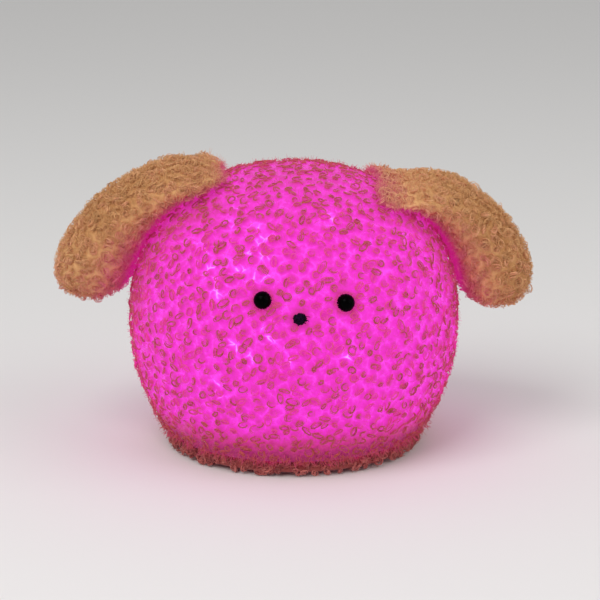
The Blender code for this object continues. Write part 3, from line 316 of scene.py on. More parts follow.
def spread(grid, count):
    """Places spread evenly over a closed-round grid, and the way out at each: equal steps of area
    down its rows, each a golden section of the row's length further round than the last."""
    ring = np.concatenate([grid, grid[:, :1]], axis=1)
    normal = grid_normals(grid)
    normal = np.concatenate([normal, normal[:, :1]], axis=1)
    rows, columns = ring.shape[:2]
    steps = np.linalg.norm(np.diff(ring, axis=1), axis=2)
    lengths = steps.sum(axis=1)
    drop = np.linalg.norm(np.diff(grid, axis=0), axis=2).mean(axis=1)
    area = np.concatenate([[0], np.cumsum(drop * (lengths[:-1] + lengths[1:]) / 2)])
    row = np.interp((np.arange(count) + 0.5) / count * area[-1], area, np.arange(rows))
    whole = np.minimum(row.astype(int), rows - 2)
    share = np.concatenate([np.zeros((rows, 1)), np.cumsum(steps, axis=1)], axis=1)
    share = share / np.maximum(lengths, 1e-9)[:, None]
    flat = (share * 0.999 + np.arange(rows)[:, None]).ravel()
    turn = np.arange(count) * GOLDEN_TURN % 1
    column = np.interp(turn * 0.999 + whole, flat, np.tile(np.arange(columns), rows))
    left = np.minimum(column.astype(int), columns - 2)
    down, across = (row - whole)[:, None], (column - left)[:, None]

    def read(values):
        upper = values[whole, left] * (1 - across) + values[whole, left + 1] * across
        lower = values[whole + 1, left] * (1 - across) + values[whole + 1, left + 1] * across
        return upper * (1 - down) + lower * down

    return read(ring), unit(read(normal))


def middle_of(node):
    """The middle of a CAD node's box."""
    low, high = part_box(node)
    return (np.array(low) + np.array(high)) / 2


def distance_to(points, place):
    """How far each point is from one place."""
    return np.linalg.norm(points - place, axis=-1)


def strewn(place, out, by):
    """Places moved at random along the surface, square to the way out, by about this much."""
    return place + np.cross(out, draws.normal(size=place.shape)) * by


draws = np.random.default_rng(11)
eyes = [middle_of("eye_right"), middle_of("eye_left")]
nose = middle_of("nose_knot")
parting_lines = onto_ball(PARTINGS)
OUTER_ROWS, OUTER_COLUMNS = 160, 240
outer_grid = ball_grid(0.0, OUTER_ROWS, OUTER_COLUMNS)
# The area of a band that tall and of the ball's radius, less what the ball's curve takes off it,
# and the area of a curl in a triangular pattern: the spacing squared times the sine of 60 degrees.
ball_area = 2 * math.pi * BALL_RADIUS * (BALL_UP + WIDEST_Z) * 0.93
curl_area = 0.866 * CURL_SPACING ** 2
curl_place, curl_out = spread(outer_grid, int(ball_area / curl_area))
curl_place = strewn(curl_place, curl_out, CURL_SPACING * CURL_STRAY)
off = off_lines(curl_place, parting_lines)
curl_place += unit(off) * np.clip(PARTING_REACH - np.linalg.norm(off, axis=1), 0, None)[:, None]
kept = distance_to(curl_place, nose) > NOSE_CLEARING
for eye in eyes:
    kept &= distance_to(curl_place, eye) > EYE_CLEARING
curl_place, curl_out = curl_place[kept], curl_out[kept]


# The backing itself. The light comes through it brightest along the network between the curls,
# most of all at the partings, and it rises in a low mound under each curl. Its glow starts from
# one share everywhere, and the network adds to that.
BACKING_MOUND = 0.0008
BACKING_GLOW = 0.43
NETWORK_GLOW = 0.21
CRACK_SIZE = 0.0055

# The strip of the ball that each ear covers: its first and last lean off Z in degrees, half its
# width at the tip, and what the seam adds to that. The light falls off round it over EAR_SHADE.
COVERED_FROM, COVERED_TO = 33, 85
COVERED_HALF, COVERED_SEAM = 0.021, 0.012
EAR_SHADE, EAR_DIMMING = 0.0055, 0.30
# What dims the light on the face: the radius of each eye and of the nose, and how far past it.
FACE_SPOTS = ((eyes[0], 0.004), (eyes[1], 0.004), (nose, 0.0025))
FACE_SHADE, FACE_DIMMING = 0.0022, 0.65


def bell(distance, width):
    """A bell curve: e to the power of minus the square of a distance in widths."""
    return np.exp(-(distance / width) ** 2)


def lean_of(points):
    """How far the way from the ball's middle to each point leans off Z, in degrees."""
    return np.degrees(np.arctan2(np.abs(points[..., 0]), points[..., 2] - WIDEST_Z))


def beside_ears(points):
    """1 under and against the ears and 0 well away from them, for the painted shade the ears cast on the
    coat:
    a bell curve of the distance from the strip of the ball that each ear covers, which narrows from its
    seam to its tip."""
    lean = lean_of(points)
    share = np.clip((lean - COVERED_FROM) / (COVERED_TO - COVERED_FROM), 0, 1)
    across = np.abs(points[..., 1]) - COVERED_HALF - COVERED_SEAM * (1 - share) ** 2
    short = np.clip(COVERED_FROM - lean, 0, None) + np.clip(lean - COVERED_TO, 0, None)
    return bell(np.hypot(np.clip(across, 0, None), np.radians(short) * BALL_RADIUS), EAR_SHADE)


def lit_share(points):
    """How brightly the lamp shines through: full round the middle, less near the crown and beside
    the ears, hardly at all at the foot, dimmed by the eyes and the nose, and a little uneven where
    the pile lies thicker, as a product."""
    x, z = points[..., 0], points[..., 2]
    share = smooth_step((z + 0.010) / 0.042) * (0.74 + 0.26 * smooth_step((0.145 - z) / 0.044))
    share = share * (0.1 + 0.9 * smooth_step((z - 0.006) / 0.020))
    uneven = 0.94 + 0.03 * np.sin(390 * x + 190 * z) + 0.03 * np.sin(310 * z - 240 * x)
    share = share * uneven * (1 - EAR_DIMMING * beside_ears(points))
    for place, radius in FACE_SPOTS:
        past_edge = np.clip(distance_to(points, place) - radius, 0, None)
        share = share * (1 - FACE_DIMMING * bell(past_edge, FACE_SHADE))
    return share


def nearest_distance(points, places):
    """The distance of each point from the nearest of many places: the root of the two squares less
    twice the product, worked out for a block of points at a time."""
    found = []
    block = 6000
    for start in range(0, len(points), block):
        some = points[start:start + block]
        square = (some ** 2).sum(1)[:, None] + (places ** 2).sum(1) - 2 * some @ places.T
        found.append(np.sqrt(np.maximum(square.min(axis=1), 0)))
    return np.concatenate(found)


def share_of(tree, name):
    """A share that the mesh holds, one a point."""
    held = tree.nodes.new("ShaderNodeAttribute")
    held.attribute_name = name
    return held.outputs["Fac"]


def math_of(tree, operation, *terms):
    """A Math node's result from terms that are each a socket or a number."""
    made = tree.nodes.new("ShaderNodeMath")
    made.operation = operation
    for into, term in zip(made.inputs, terms):
        if isinstance(term, float):
            into.default_value = term
        else:
            link(tree, term, into)
    return made.outputs["Value"]


def crack_lines(tree, size):
    """1 along the edges of Voronoi cells of this size, bent by a noise, and 0 inside them."""
    place = object_place(tree)
    warp = tree.nodes.new("ShaderNodeTexNoise")
    warp.inputs["Scale"].default_value = 1.3 / size
    link(tree, place, warp.inputs["Vector"])
    bent = tree.nodes.new("ShaderNodeVectorMath")
    bent.operation = "MULTIPLY_ADD"
    link(tree, warp.outputs["Color"], bent.inputs[0])
    bent.inputs[1].default_value = [size * 0.35] * 3
    link(tree, place, bent.inputs[2])
    cells = tree.nodes.new("ShaderNodeTexVoronoi")
    cells.feature = "DISTANCE_TO_EDGE"
    cells.inputs["Scale"].default_value = 1 / size
    link(tree, bent.outputs["Vector"], cells.inputs["Vector"])
    stops = [(0.0, (1, 1, 1)), (0.06, (0.5, 0.5, 0.5)), (0.17, (0, 0, 0))]
    return ramp_of(tree, cells.outputs["Distance"], stops)


def glowing(
    name, stops, glow_stops, sheen=0.2, grain=0.0005, height=0.0002, drift=0.0016, shifted_by=0.25,
    cracks=None,
):
    """Fleece lit from behind. The share called glow, from 0 at the outermost fibre to 1 where the
    light comes straight through, picks both its own colour and the light that it gives off, and a
    noise shifts it a little either way. Where cracks gives a size, the share called crack is added
    to it along bent lines that far apart."""
    made, tree, shader = surface_of(
        name, Roughness=0.9, Sheen_Weight=sheen, Specular_IOR_Level=0.1, Emission_Strength=1.0
    )
    lowered = math_of(tree, "SUBTRACT", share_of(tree, "glow"), shifted_by / 2)
    share = math_of(tree, "MULTIPLY_ADD", noise_of(tree, drift, 2), shifted_by, lowered)
    if cracks:
        share = math_of(tree, "MULTIPLY_ADD", share_of(tree, "crack"), crack_lines(tree, cracks), share)
    link(tree, ramp_of(tree, share, stops), shader.inputs["Base Color"])
    link(tree, ramp_of(tree, share, glow_stops), shader.inputs["Emission Color"])
    link(tree, bump_of(tree, noise_of(tree, grain, 3), height), shader.inputs["Normal"])
    return made


LIT_BACKING = glowing(
    "lit_backing",
    [(0.0, (0.17, 0.020, 0.030)), (0.3, (0.22, 0.02, 0.07)), (0.6, (0.20, 0.015, 0.12)),
     (1.0, (0.2, 0.1, 0.2))],
    [(0.0, (0.05, 0.001, 0.012)), (0.3, (0.46, 0.022, 0.21)), (0.6, (0.76, 0.024, 0.55)),
     (0.8, (0.92, 0.034, 0.86)), (1.0, (1.0, 0.42, 1.0))],
    cracks=CRACK_SIZE,
)
BACKING_ROWS, INNER_ROWS, BACKING_COLUMNS = 148, 12, 520
backing_grid = ball_grid(BACKING_INSET, BACKING_ROWS, BACKING_COLUMNS)[1:]
backing_out = grid_normals(backing_grid)
backing_points = backing_grid.reshape(-1, 3)
under_curls = backing_points + backing_out.reshape(-1, 3) * BACKING_INSET
between = smooth_step((nearest_distance(under_curls, curl_place) - 0.0010) / 0.0019)
from_parting = np.linalg.norm(off_lines(backing_points, parting_lines), axis=1)
parted = 0.14 * bell(from_parting, 0.0035) * between + 0.30 * bell(from_parting, 0.0009)
lit = lit_share(backing_points)
backing_glow = (BACKING_GLOW + NETWORK_GLOW * between + parted) * (0.15 + 0.85 * lit)
backing_crack = (0.12 + 0.46 * bell(from_parting, 0.0028)) * lit
mound = (BACKING_MOUND * (1 - between)).reshape(backing_grid.shape[:2])[..., None]
backing_grid = backing_grid + backing_out * mound
inner_grid = ball_grid(BACKING_INSET + BACKING_THICKNESS, INNER_ROWS, BACKING_COLUMNS)[:0:-1]
inner_count = inner_grid.size // 3
backing = piece(
    "coat_backing", *loft(np.concatenate([backing_grid, inner_grid])), LIT_BACKING, "root", "lit_fleece",
    glow=np.append(backing_glow, np.full(inner_count, 0.6)),
    crack=np.append(backing_crack, np.zeros(inner_count)),
)
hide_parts("coat_body")


# The coat's curls: combed fleece whose fibres wind themselves into rings, one beside the next,
# each rooted in the backing. Light shines through the roots, and the outermost turn looks brown.
CURL_RINGS = 10
STRANDS = 4
FIBRE_SIDES = 3
CROWN_LOWER = 0.0006
STRAND_STRAY = 0.00024
# Each curl's kind is a share from 0 to 1. Those under the first only hook over, and those past the
# next two are drawn out long and wound up tight.
HOOKED_UNDER, LONG_PAST, TIGHT_PAST = 0.30, 0.48, 0.88
OPEN_RADIUS, TIGHT_RADIUS, DRAWN_OUT = (0.0017, 0.0026), (0.0013, 0.0017), (1.1, 1.5)
OPEN_TURNS, TIGHT_TURNS, HOOKED_TURNS = (1.05, 1.4), (1.5, 2.0), (0.55, 0.9)
OPEN_OVAL, LONG_OVAL = (0.7, 1.0), (0.35, 0.6)
CURL_GRAIN = np.array([1.2, 0.0, 0.7])
CURL_THICKNESS = (0.00034, 0.00052)


def each_strand(values):
    """A curl's own values, given to each of its strands."""
    return np.repeat(values, STRANDS, axis=0)


def curl_paths(place, out, depth, lift, radius, turns, lean, climb, oval=1.0, grain=0.0):
    """The centre lines of curls, (curls, rings, 3). Each rises from a depth below its place and
    then winds round an axis that leans off the way out, at a radius that opens from the root and
    closes by two fifths to the tip, climbing the axis as it goes. The strands of a curl share its
    axis and its hand. oval narrows a curl, and the longer the grain, the more they lie along it."""
    locks = len(place) // STRANDS
    share = np.linspace(0, 1, CURL_RINGS)
    opened = smooth_step(share / 0.28)
    own_out = out[::STRANDS]
    any_way = unit(np.cross(own_out, draws.normal(size=(locks, 3))))
    lean = lean[::STRANDS, None]
    axis = unit(own_out * np.cos(lean) + any_way * np.sin(lean))
    first = draws.normal(size=(locks, 3)) + grain
    first = unit(first - axis * (first * axis).sum(-1, keepdims=True))
    second = np.cross(axis, first)
    handed = np.where(draws.random(locks) < 0.5, -1, 1)[:, None]
    axis, first, second, handed = [each_strand(values) for values in (axis, first, second, handed)]
    angle = handed * 2 * math.pi * turns[:, None] * share
    reach = radius[:, None] * (0.30 + 0.70 * opened) * (1 - 0.4 * share ** 1.5)
    height = -depth[:, None] + (depth + lift)[:, None] * opened
    path = place[:, None] + out[:, None] * height[..., None]
    path = path + first[:, None] * (reach * np.cos(angle))[..., None]
    narrowed = reach * np.reshape(oval, (-1, 1))
    path = path + second[:, None] * (narrowed * np.sin(angle))[..., None]
    return path + axis[:, None] * (climb[:, None] * (share - 0.3))[..., None], axis


def tapered(span, count, rings, taper=0.6, power=1):
    """Thicknesses at each ring: drawn from a span, less a share of the way along to a power."""
    return draws.uniform(*span, count)[:, None] * (1 - taper * np.linspace(0, 1, rings) ** power)


def tubes(paths, thickness, sides, reference):
    """The points of closed tubes (tubes, rings, sides, 3) round centre lines, of one thickness or
    one at each ring: circles across the line, set out from the way that is square to the reference."""
    along = unit(np.gradient(paths, axis=1))
    across = unit(np.cross(along, reference[:, None]))
    upward = np.cross(across, along)
    angle = 2 * math.pi * np.arange(sides) / sides
    ring = across[:, :, None] * np.cos(angle)[:, None] - upward[:, :, None] * np.sin(angle)[:, None]
    return paths[:, :, None] + ring * np.reshape(thickness / 2, np.shape(thickness) + (1, 1))


def bundle(
    name, paths, thickness, reference, glow, surface, body, slot, out=None, shine=0.0, bend=None
):
    """One mesh piece of many thin tubes. Their glow is given at each ring, or once for each, and a
    side that faces inwards, against the way out, gets up to a further share of shine."""
    points = tubes(paths, thickness, FIBRE_SIDES, reference)
    share = np.broadcast_to(glow[..., None], points.shape[:3])
    if shine:
        facing = (unit(points - paths[:, :, None]) * out[:, None, None]).sum(-1)
        share = share + shine * (1 - facing) / 2
    return piece(name, *loft(points), surface, body, slot, bend, glow=np.clip(share, 0, 1).ravel())


CURL_FLEECE = glowing(
    "curl_fleece",
    [(0.0, (0.42, 0.10, 0.04)), (0.35, (0.40, 0.06, 0.09)), (0.7, (0.25, 0.02, 0.16)),
     (1.0, (0.2, 0.01, 0.14))],
    [(0.0, (0.07, 0.003, 0.008)), (0.35, (0.42, 0.012, 0.17)), (0.7, (0.74, 0.018, 0.50)),
     (1.0, (0.88, 0.02, 0.68))],
)
COAT = (CURL_FLEECE, "root", "lit_fleece")
locks = len(curl_place)
share = np.linspace(0, 1, CURL_RINGS)
tone = each_strand(draws.random(locks))
kind = draws.random(locks)
hooked, tight, long = kind < HOOKED_UNDER, kind > TIGHT_PAST, (kind > LONG_PAST) & (kind < TIGHT_PAST)
curl_place, curl_out = each_strand(curl_place), each_strand(curl_out)
count = len(curl_place)
curl_place = strewn(curl_place, curl_out, STRAND_STRAY)
crown = smooth_step((curl_place[:, 2] - 0.110) / 0.02)
radius = np.where(tight, draws.uniform(*TIGHT_RADIUS, locks), draws.uniform(*OPEN_RADIUS, locks))
radius = radius * np.where(long, draws.uniform(*DRAWN_OUT, locks), 1)
turns = np.where(
    hooked, draws.uniform(*HOOKED_TURNS, locks),
    np.where(tight, draws.uniform(*TIGHT_TURNS, locks), draws.uniform(*OPEN_TURNS, locks)),
)
curls, axis = curl_paths(
    curl_place, curl_out,
    depth=np.full(count, BACKING_INSET + 0.0004),
    lift=each_strand(draws.uniform(-0.0018, -0.0010, locks)) - CROWN_LOWER * crown
    + draws.uniform(-0.0003, 0.0003, count),
    radius=each_strand(radius) * draws.uniform(0.88, 1.12, count),
    turns=each_strand(turns) * draws.uniform(0.92, 1.08, count),
    lean=each_strand(draws.uniform(0.0, 0.55, locks) * (1 - 0.5 * long)),
    climb=draws.uniform(0.0003, 0.0010, count),
    oval=each_strand(np.where(long, draws.uniform(*LONG_OVAL, locks), draws.uniform(*OPEN_OVAL, locks))),
    grain=CURL_GRAIN,
)
thickness = tapered(CURL_THICKNESS, count, CURL_RINGS, power=4) * (0.8 + 0.2 * share)
root = 1 - np.clip(share / 0.30, 0, 1)
tone = 0.40 * smooth_step((tone - 0.15) / 0.85) + draws.uniform(-0.03, 0.11, count)
# The glow is painted light: full at each root, the curl's own tone beyond it, then less where the lamp
# shines through less, and less again near the crown.
curl_glow = np.clip(root + (1 - root) * tone[:, None], 0, 1)
curl_glow = curl_glow * (lit_share(curl_place) ** 2.5 * (1 - 0.6 * crown))[:, None]
quarters = (curl_place[:, 0] > 0) * 1 + (curl_place[:, 1] > 0) * 2
for quarter in range(4):
    here = quarters == quarter
    bundle(
        f"coat_curls_{quarter + 1}", curls[here], thickness[here], axis[here], curl_glow[here],
        *COAT, out=curl_out[here], shine=0.12,
    )


# The short fibres that stand off every curl and blur its edge, and the loose ones between curls.
FIBRE_RINGS = 4
HALO_PER_STRAND = 1
HALO_LENGTH, HALO_THICKNESS = (0.0010, 0.0020), 0.00020
FUZZ_FIBRES = 8000
FUZZ_LENGTH, FUZZ_THICKNESS = (0.0024, 0.0040), (0.00014, 0.00026)
FOOT_FIBRES = 1100
FOOT_LENGTH, FOOT_THICKNESS = (0.0030, 0.0052), (0.00020, 0.00036)
# How near the table a loose fibre and a curl may come.
FIBRE_LOWEST, CURL_LOWEST = 0.0004, 0.0006


def arc_paths(place, out, depth, length, bend, rings=FIBRE_RINGS):
    """The centre lines of loose fibres: arcs of a circle that start a depth below their place along
    the way out, leaning up to half a radian, and bend over sideways by up to so many radians. Also
    the way that is square to each arc."""
    count = len(place)
    share = np.linspace(0, 1, rings)
    bend = draws.uniform(-bend, bend, count)
    side = unit(np.cross(out, draws.normal(size=(count, 3))))
    start = draws.uniform(-0.5, 0.5, count)[:, None]
    bend = np.where(np.abs(bend) < 0.05, 0.05, bend)[:, None]
    step = length[:, None] / bend
    sideways = step * (np.cos(start) - np.cos(start + bend * share))
    upward = step * (np.sin(start + bend * share) - np.sin(start)) - depth
    path = place[:, None] + out[:, None] * upward[..., None] + side[:, None] * sideways[..., None]
    return path, np.cross(out, side)


def halo_of(name, paths, glow, per_curl, out, first_ring, surface, body, slot):
    """Fibres that stand off the turns of curls any way, most of them outwards, each as bright as the
    turn it stands on or a little brighter."""
    curl = np.repeat(np.arange(len(paths)), per_curl)
    ring = draws.integers(first_ring, CURL_RINGS, len(curl))
    way = unit(draws.normal(size=(len(curl), 3)) + 0.4 * out[curl])
    fibres, square = arc_paths(paths[curl, ring], way, 0, draws.uniform(*HALO_LENGTH, len(curl)), 1.6)
    fibres[..., 2] = np.maximum(fibres[..., 2], FIBRE_LOWEST)
    thickness = HALO_THICKNESS * (1 - 0.5 * np.linspace(0, 1, FIBRE_RINGS))[None]
    shade = np.clip(glow[curl, ring] + draws.uniform(0.0, 0.25, len(curl)), 0, 1)[:, None]
    return bundle(name, fibres, thickness, square, shade, surface, body, slot)


for quarter in range(4):
    here = quarters == quarter
    name = f"coat_halo_{quarter + 1}"
    halo_of(name, curls[here], curl_glow[here], HALO_PER_STRAND, curl_out[here], 4, *COAT)
place, out = spread(outer_grid, FUZZ_FIBRES)
place = strewn(place, out, 0.0015)
clear = np.linalg.norm(off_lines(place, parting_lines), axis=1) > 0.0018
place, out = place[clear], out[clear]
count = len(place)
paths, square = arc_paths(place, out, 0.0030, draws.uniform(*FUZZ_LENGTH, count), 3.0)
share = np.linspace(0, 1, FIBRE_RINGS)
thickness = tapered(FUZZ_THICKNESS, count, FIBRE_RINGS)
fuzz_glow = (0.78 - 0.58 * share) * (0.1 + 0.9 * lit_share(place))[:, None]
fuzz_glow = np.clip(fuzz_glow * draws.uniform(0.5, 1.1, count)[:, None], 0, 1)
for half, here in (("front", place[:, 1] < 0), ("back", place[:, 1] >= 0)):
    name = f"coat_fuzz_{half}"
    bundle(name, paths[here], thickness[here], square[here], fuzz_glow[here], *COAT)

# Round its foot the coat's longest fibres hang over the hem and hide the edge of the backing.
ring = draws.integers(OUTER_ROWS - 4, OUTER_ROWS, FOOT_FIBRES)
column = draws.integers(0, OUTER_COLUMNS, FOOT_FIBRES)
place, out = outer_grid[ring, column], grid_normals(outer_grid)[ring, column]
place = strewn(place, out, 0.0008)
way = unit(0.7 * out + np.array([0, 0, -0.8]) + 0.4 * draws.normal(size=place.shape))
paths, square = arc_paths(place - out * 0.0022, way, 0, draws.uniform(*FOOT_LENGTH, FOOT_FIBRES), 1.6)
paths[..., 2] = np.maximum(paths[..., 2], CURL_LOWEST)
thickness = tapered(FOOT_THICKNESS, FOOT_FIBRES, FIBRE_RINGS)
foot_glow = tapered((0.0, 0.26), FOOT_FIBRES, FIBRE_RINGS, taper=0.4)
bundle("coat_foot_fringe", paths, thickness, square, foot_glow, *COAT)


# The hem: the same fleece rolled under round its elastic, which the lamp doesn't reach.
hem_low, hem_high = [np.array(corner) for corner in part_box("coat_hem")]
HEM_OUTER = hem_high[0]
HEM_INNER = 0.0468
HEM_SQUARENESS = 2.6
HEM_INSET = 0.0010
HEM_ROWS, HEM_COLUMNS = 20, 200
HEM_CURLS = 300
HEM_RADIUS, HEM_THICKNESS = (0.0012, 0.0020), (0.0005, 0.0007)
HEM_HALO = 3


def hem_at(turn, angle, inset):
    """Points of the rolled hem: a superellipse section at a turn, carried round Z by an angle."""
    power = 2 / HEM_SQUARENESS
    half = (HEM_OUTER - HEM_INNER) / 2 - inset
    tall = (hem_high[2] - hem_low[2]) / 2 - inset
    radius = (HEM_OUTER + HEM_INNER) / 2 + half * rounded(np.cos(turn), power)
    height = (hem_low[2] + hem_high[2]) / 2 + tall * rounded(np.sin(turn), power)
    return np.stack([radius * np.cos(angle), radius * np.sin(angle), height + 0 * angle], axis=-1)


def closed_loft(grid):
    """The faces of a grid of points that closes both ways, as a ring does."""
    rows, columns = grid.shape[:2]
    near = np.arange(rows * columns).reshape(rows, columns)
    far, above = np.roll(near, -1, axis=1), np.roll(near, -1, axis=0)
    quads = np.stack([near, far, np.roll(above, -1, axis=1), above], axis=-1).reshape(-1, 4)
    return grid.reshape(-1, 3), quads.ravel(), np.arange(len(quads)) * 4


# The hem's fleece gives off only a faint painted glow.
HEM_FLEECE = glowing(
    "hem_fleece",
    [(0.0, (0.27, 0.058, 0.048)), (0.5, (0.46, 0.125, 0.100)), (1.0, (0.60, 0.205, 0.160))],
    [(0.0, (0.02, 0.0, 0.004)), (0.5, (0.03, 0.001, 0.006)), (1.0, (0.04, 0.001, 0.008))],
)
HEM = (HEM_FLEECE, "root", "hem_fleece")
around = 2 * math.pi * np.arange(HEM_COLUMNS) / HEM_COLUMNS
section = 2 * math.pi * np.arange(HEM_ROWS) / HEM_ROWS
hem_grid = hem_at(section[:, None], around[None, :], HEM_INSET)
hem_backing = piece("hem_backing", *closed_loft(hem_grid), *HEM, glow=0.1)
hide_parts("coat_hem")
around = np.arange(HEM_CURLS) * GOLDEN_TURN % 1 * 2 * math.pi
rise = draws.uniform(-0.55, 1.15, HEM_CURLS)
place = hem_at(rise, around, 0.0)
out = np.stack([np.cos(rise) * np.cos(around), np.cos(rise) * np.sin(around), np.sin(rise)], axis=1)
place, out = each_strand(place), each_strand(out)
place = strewn(place, out, 0.0004)
count = len(place)
paths, axis = curl_paths(
    place, out,
    depth=np.full(count, HEM_INSET + 0.0003),
    lift=draws.uniform(-0.0010, 0.0, count),
    radius=each_strand(draws.uniform(*HEM_RADIUS, HEM_CURLS)) * draws.uniform(0.8, 1.2, count),
    turns=each_strand(draws.uniform(0.9, 1.5, HEM_CURLS)),
    lean=each_strand(draws.uniform(0.0, 1.2, HEM_CURLS)),
    climb=draws.uniform(0.0004, 0.0010, count),
)
paths[..., 2] = np.maximum(paths[..., 2], CURL_LOWEST)
thickness = tapered(HEM_THICKNESS, count, CURL_RINGS, taper=0.5, power=4)
glow = each_strand(draws.uniform(0.1, 0.8, HEM_CURLS)) + draws.uniform(-0.1, 0.2, count)
glow = np.clip(glow, 0, 1)[:, None] * np.ones(CURL_RINGS)
bundle("hem_curls", paths, thickness, axis, glow, *HEM)
halo_of("hem_halo", paths, glow, HEM_HALO, out, 2, *HEM)

dress(
    ["hem_elastic"],
    "woven_elastic", (0.6, 0.58, 0.55), (0.75, 0.73, 0.7), 0.85, 0.0007, 0.0003, stretch=(1, 1, 0.15),
)

# The eyes: domed safety eyes turned in black plastic and polished, pressed into the fleece.
dress(
    ["eye_right", "eye_left"],
    "eye_black", (0.0004, 0.0003, 0.0004), (0.0006, 0.0004, 0.0006), 0.22, 0.004, 0.00001,
    Specular_IOR_Level=0.02,
)

# The fleece round each eye: short fibres that the eye's rim pushes up and that lap over its edge.
LASHES = 110
LASH_RINGS = 5
LASH_LENGTH, LASH_THICKNESS = (0.0010, 0.0022), 0.00028
EYE_EDGE = (0.0041, 0.0050)
for side_name, eye in (("right", eyes[0]), ("left", eyes[1])):
    eye_out = unit(eye - np.array([0, 0, WIDEST_Z]))
    level = unit(np.cross(eye_out, [0.0, 0.0, 1.0]))
    turn = 2 * math.pi * (np.arange(LASHES) + draws.random(LASHES)) / LASHES
    ring = np.cos(turn)[:, None] * level + np.sin(turn)[:, None] * np.cross(level, eye_out)
    place = eye + ring * draws.uniform(*EYE_EDGE, LASHES)[:, None]
    way = unit(eye_out - ring * draws.uniform(0.0, 0.9, LASHES)[:, None])
    length = draws.uniform(*LASH_LENGTH, LASHES)
    paths, square = arc_paths(place, way, 0.0004, length, 1.2, rings=LASH_RINGS)
    thickness = LASH_THICKNESS * (1 - 0.6 * np.linspace(0, 1, LASH_RINGS))[None]
    lash_glow = draws.uniform(0.15, 0.6, LASHES)[:, None]
    bundle(f"eye_fringe_{side_name}", paths, thickness, square, lash_glow, *COAT)

# The nose: a knot of dark thread, stitched over and over through the fleece, a little untidy.
NOSE_STITCHES = 60
STITCH_RINGS, STITCH_SIDES = 9, 4
STITCH_THICKNESS = 0.00052
NOSE_HALF, NOSE_HALF_TALL, NOSE_DEPTH = 0.0028, 0.0022, 0.0024
nose_front = np.array([nose[0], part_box("nose_knot")[0][1], nose[2]])
THREAD = finish(
    "nose_thread", (0.0008, 0.0004, 0.001), (0.012, 0.0015, 0.022), 0.8, 0.0002, 0.0001, drift=0.0009,
    Specular_IOR_Level=0.1,
)
share = np.linspace(-1, 1, STITCH_RINGS)
turn = draws.normal(0.15, 0.55, NOSE_STITCHES)
across = draws.uniform(-1, 1, NOSE_STITCHES)
reach = NOSE_HALF * np.sqrt(1 - 0.75 * across ** 2) * draws.uniform(0.75, 1.10, NOSE_STITCHES)
bowed = 1 - np.abs(share) ** 3.4
way = np.stack([np.cos(turn), np.zeros(NOSE_STITCHES), np.sin(turn)], axis=1)
square = np.stack([-np.sin(turn), np.zeros(NOSE_STITCHES), np.cos(turn)], axis=1)
lifted = draws.uniform(0.0013, 0.0021, NOSE_STITCHES) * (1 - 0.45 * across ** 4)
paths = nose_front + (reach[:, None] * share)[..., None] * way[:, None]
paths = paths + (NOSE_HALF_TALL * across)[:, None, None] * square[:, None]
paths[..., 1] += NOSE_DEPTH - lifted[:, None] * bowed - 0.0004 * (1 - across ** 2)[:, None]
forwards = np.tile([0.0, -1.0, 0.0], (NOSE_STITCHES, 1))
stitches = tubes(paths, STITCH_THICKNESS, STITCH_SIDES, forwards)
nose_piece = piece("nose_stitches", *loft(stitches), THREAD, "root", "thread")
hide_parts("nose_knot")

# Its loose ends: a few fine threads that stray from the knot, most of them up and to one side.
STRAYS = 9
STRAY_LENGTH, STRAY_THICKNESS = (0.0014, 0.0030), 0.00028
place = nose_front + np.stack([
    draws.uniform(0.0004, 0.0020, STRAYS), np.full(STRAYS, 0.0006), draws.uniform(-0.0008, 0.0020, STRAYS)
], axis=1)
way = unit(np.stack([
    draws.uniform(0.6, 1.0, STRAYS), draws.uniform(-0.6, -0.2, STRAYS), draws.uniform(-0.3, 0.8, STRAYS)
], axis=1))
paths, square = arc_paths(place, way, 0, draws.uniform(*STRAY_LENGTH, STRAYS), 1.2)
strays = tubes(paths, STRAY_THICKNESS, FIBRE_SIDES, square)
piece("nose_loose_ends", *loft(strays), THREAD, "root", "thread")


# The ears: two lobes of fleece with a little filling, sewn to the ball along a rolled seam, widest
# there, and lying over the ball's curve. Only the side near the ball is tinted by its light, and
# the fibres are longer and looser than the coat's. They aren't quite a pair.
EAR_TIP_WIDTH = 0.043
EAR_STANDOFF = 0.0004
EAR_GAP = 0.0003
EAR_INSET = 0.0004
EAR_TIP_STARTS = 0.74
EAR_SEAM_RINGS = 9
EAR_ROUNDNESS = 2.4
EAR_BEND = 0.016
EAR_LOCKS, EAR_FIBRES, EAR_FRINGE = 760, 8200, 1600
EAR_LUMP, EAR_LUMP_REACH = 0.0016, 0.0019
LOCK_RADIUS, LOCK_THICKNESS = (0.0014, 0.0024), (0.00026, 0.00042)
EAR_FIBRE_LENGTH, EAR_FIBRE_THICKNESS = (0.0028, 0.0046), (0.00016, 0.00030)
EAR_FRINGE_LENGTH, EAR_FRINGE_THICKNESS = (0.0030, 0.0062), (0.00018, 0.00032)
# side is the way along X. The leans, in degrees off Z, are those of the seam and the tip. half is
# half the thickness at the seam, thick the thickness at the tip, wide the width at the seam, and
# swell how fast it thickens. pull is how thin the seam pulls it, reach how far along that goes,
# past how far past the seam it ends, and the last how much of the ball's light is painted rosy on its lower
# end.
EARS = {
    "right": SimpleNamespace(
        side=1, lean=33, tip_lean=87, half=0.0025, thick=0.0356, wide=0.082, swell=1.7,
        pull=0.36, reach=0.30, past=0.0030, lower_glow=0.12,
    ),
    "left": SimpleNamespace(
        side=-1, lean=32, tip_lean=83, half=0.0055, thick=0.0374, wide=0.060, swell=1.25,
        pull=0.84, reach=0.12, past=0.0075, lower_glow=0.34,
    ),
}


def ball_reach(way):
    """How far the coat's upper half reaches from the ball's middle in some directions."""
    across = np.hypot(way[..., 0], way[..., 1]) / BALL_RADIUS
    return (across ** CROWN_POWER + np.abs(way[..., 2] / BALL_UP) ** CROWN_POWER) ** (-1 / CROWN_POWER)


def ear_half(ear, share):
    """Half the ear's thickness at a share of the way from seam to tip: a power ease to the tip's."""
    return ear.half + (ear.thick / 2 - ear.half) * (1 - (1 - share) ** ear.swell)


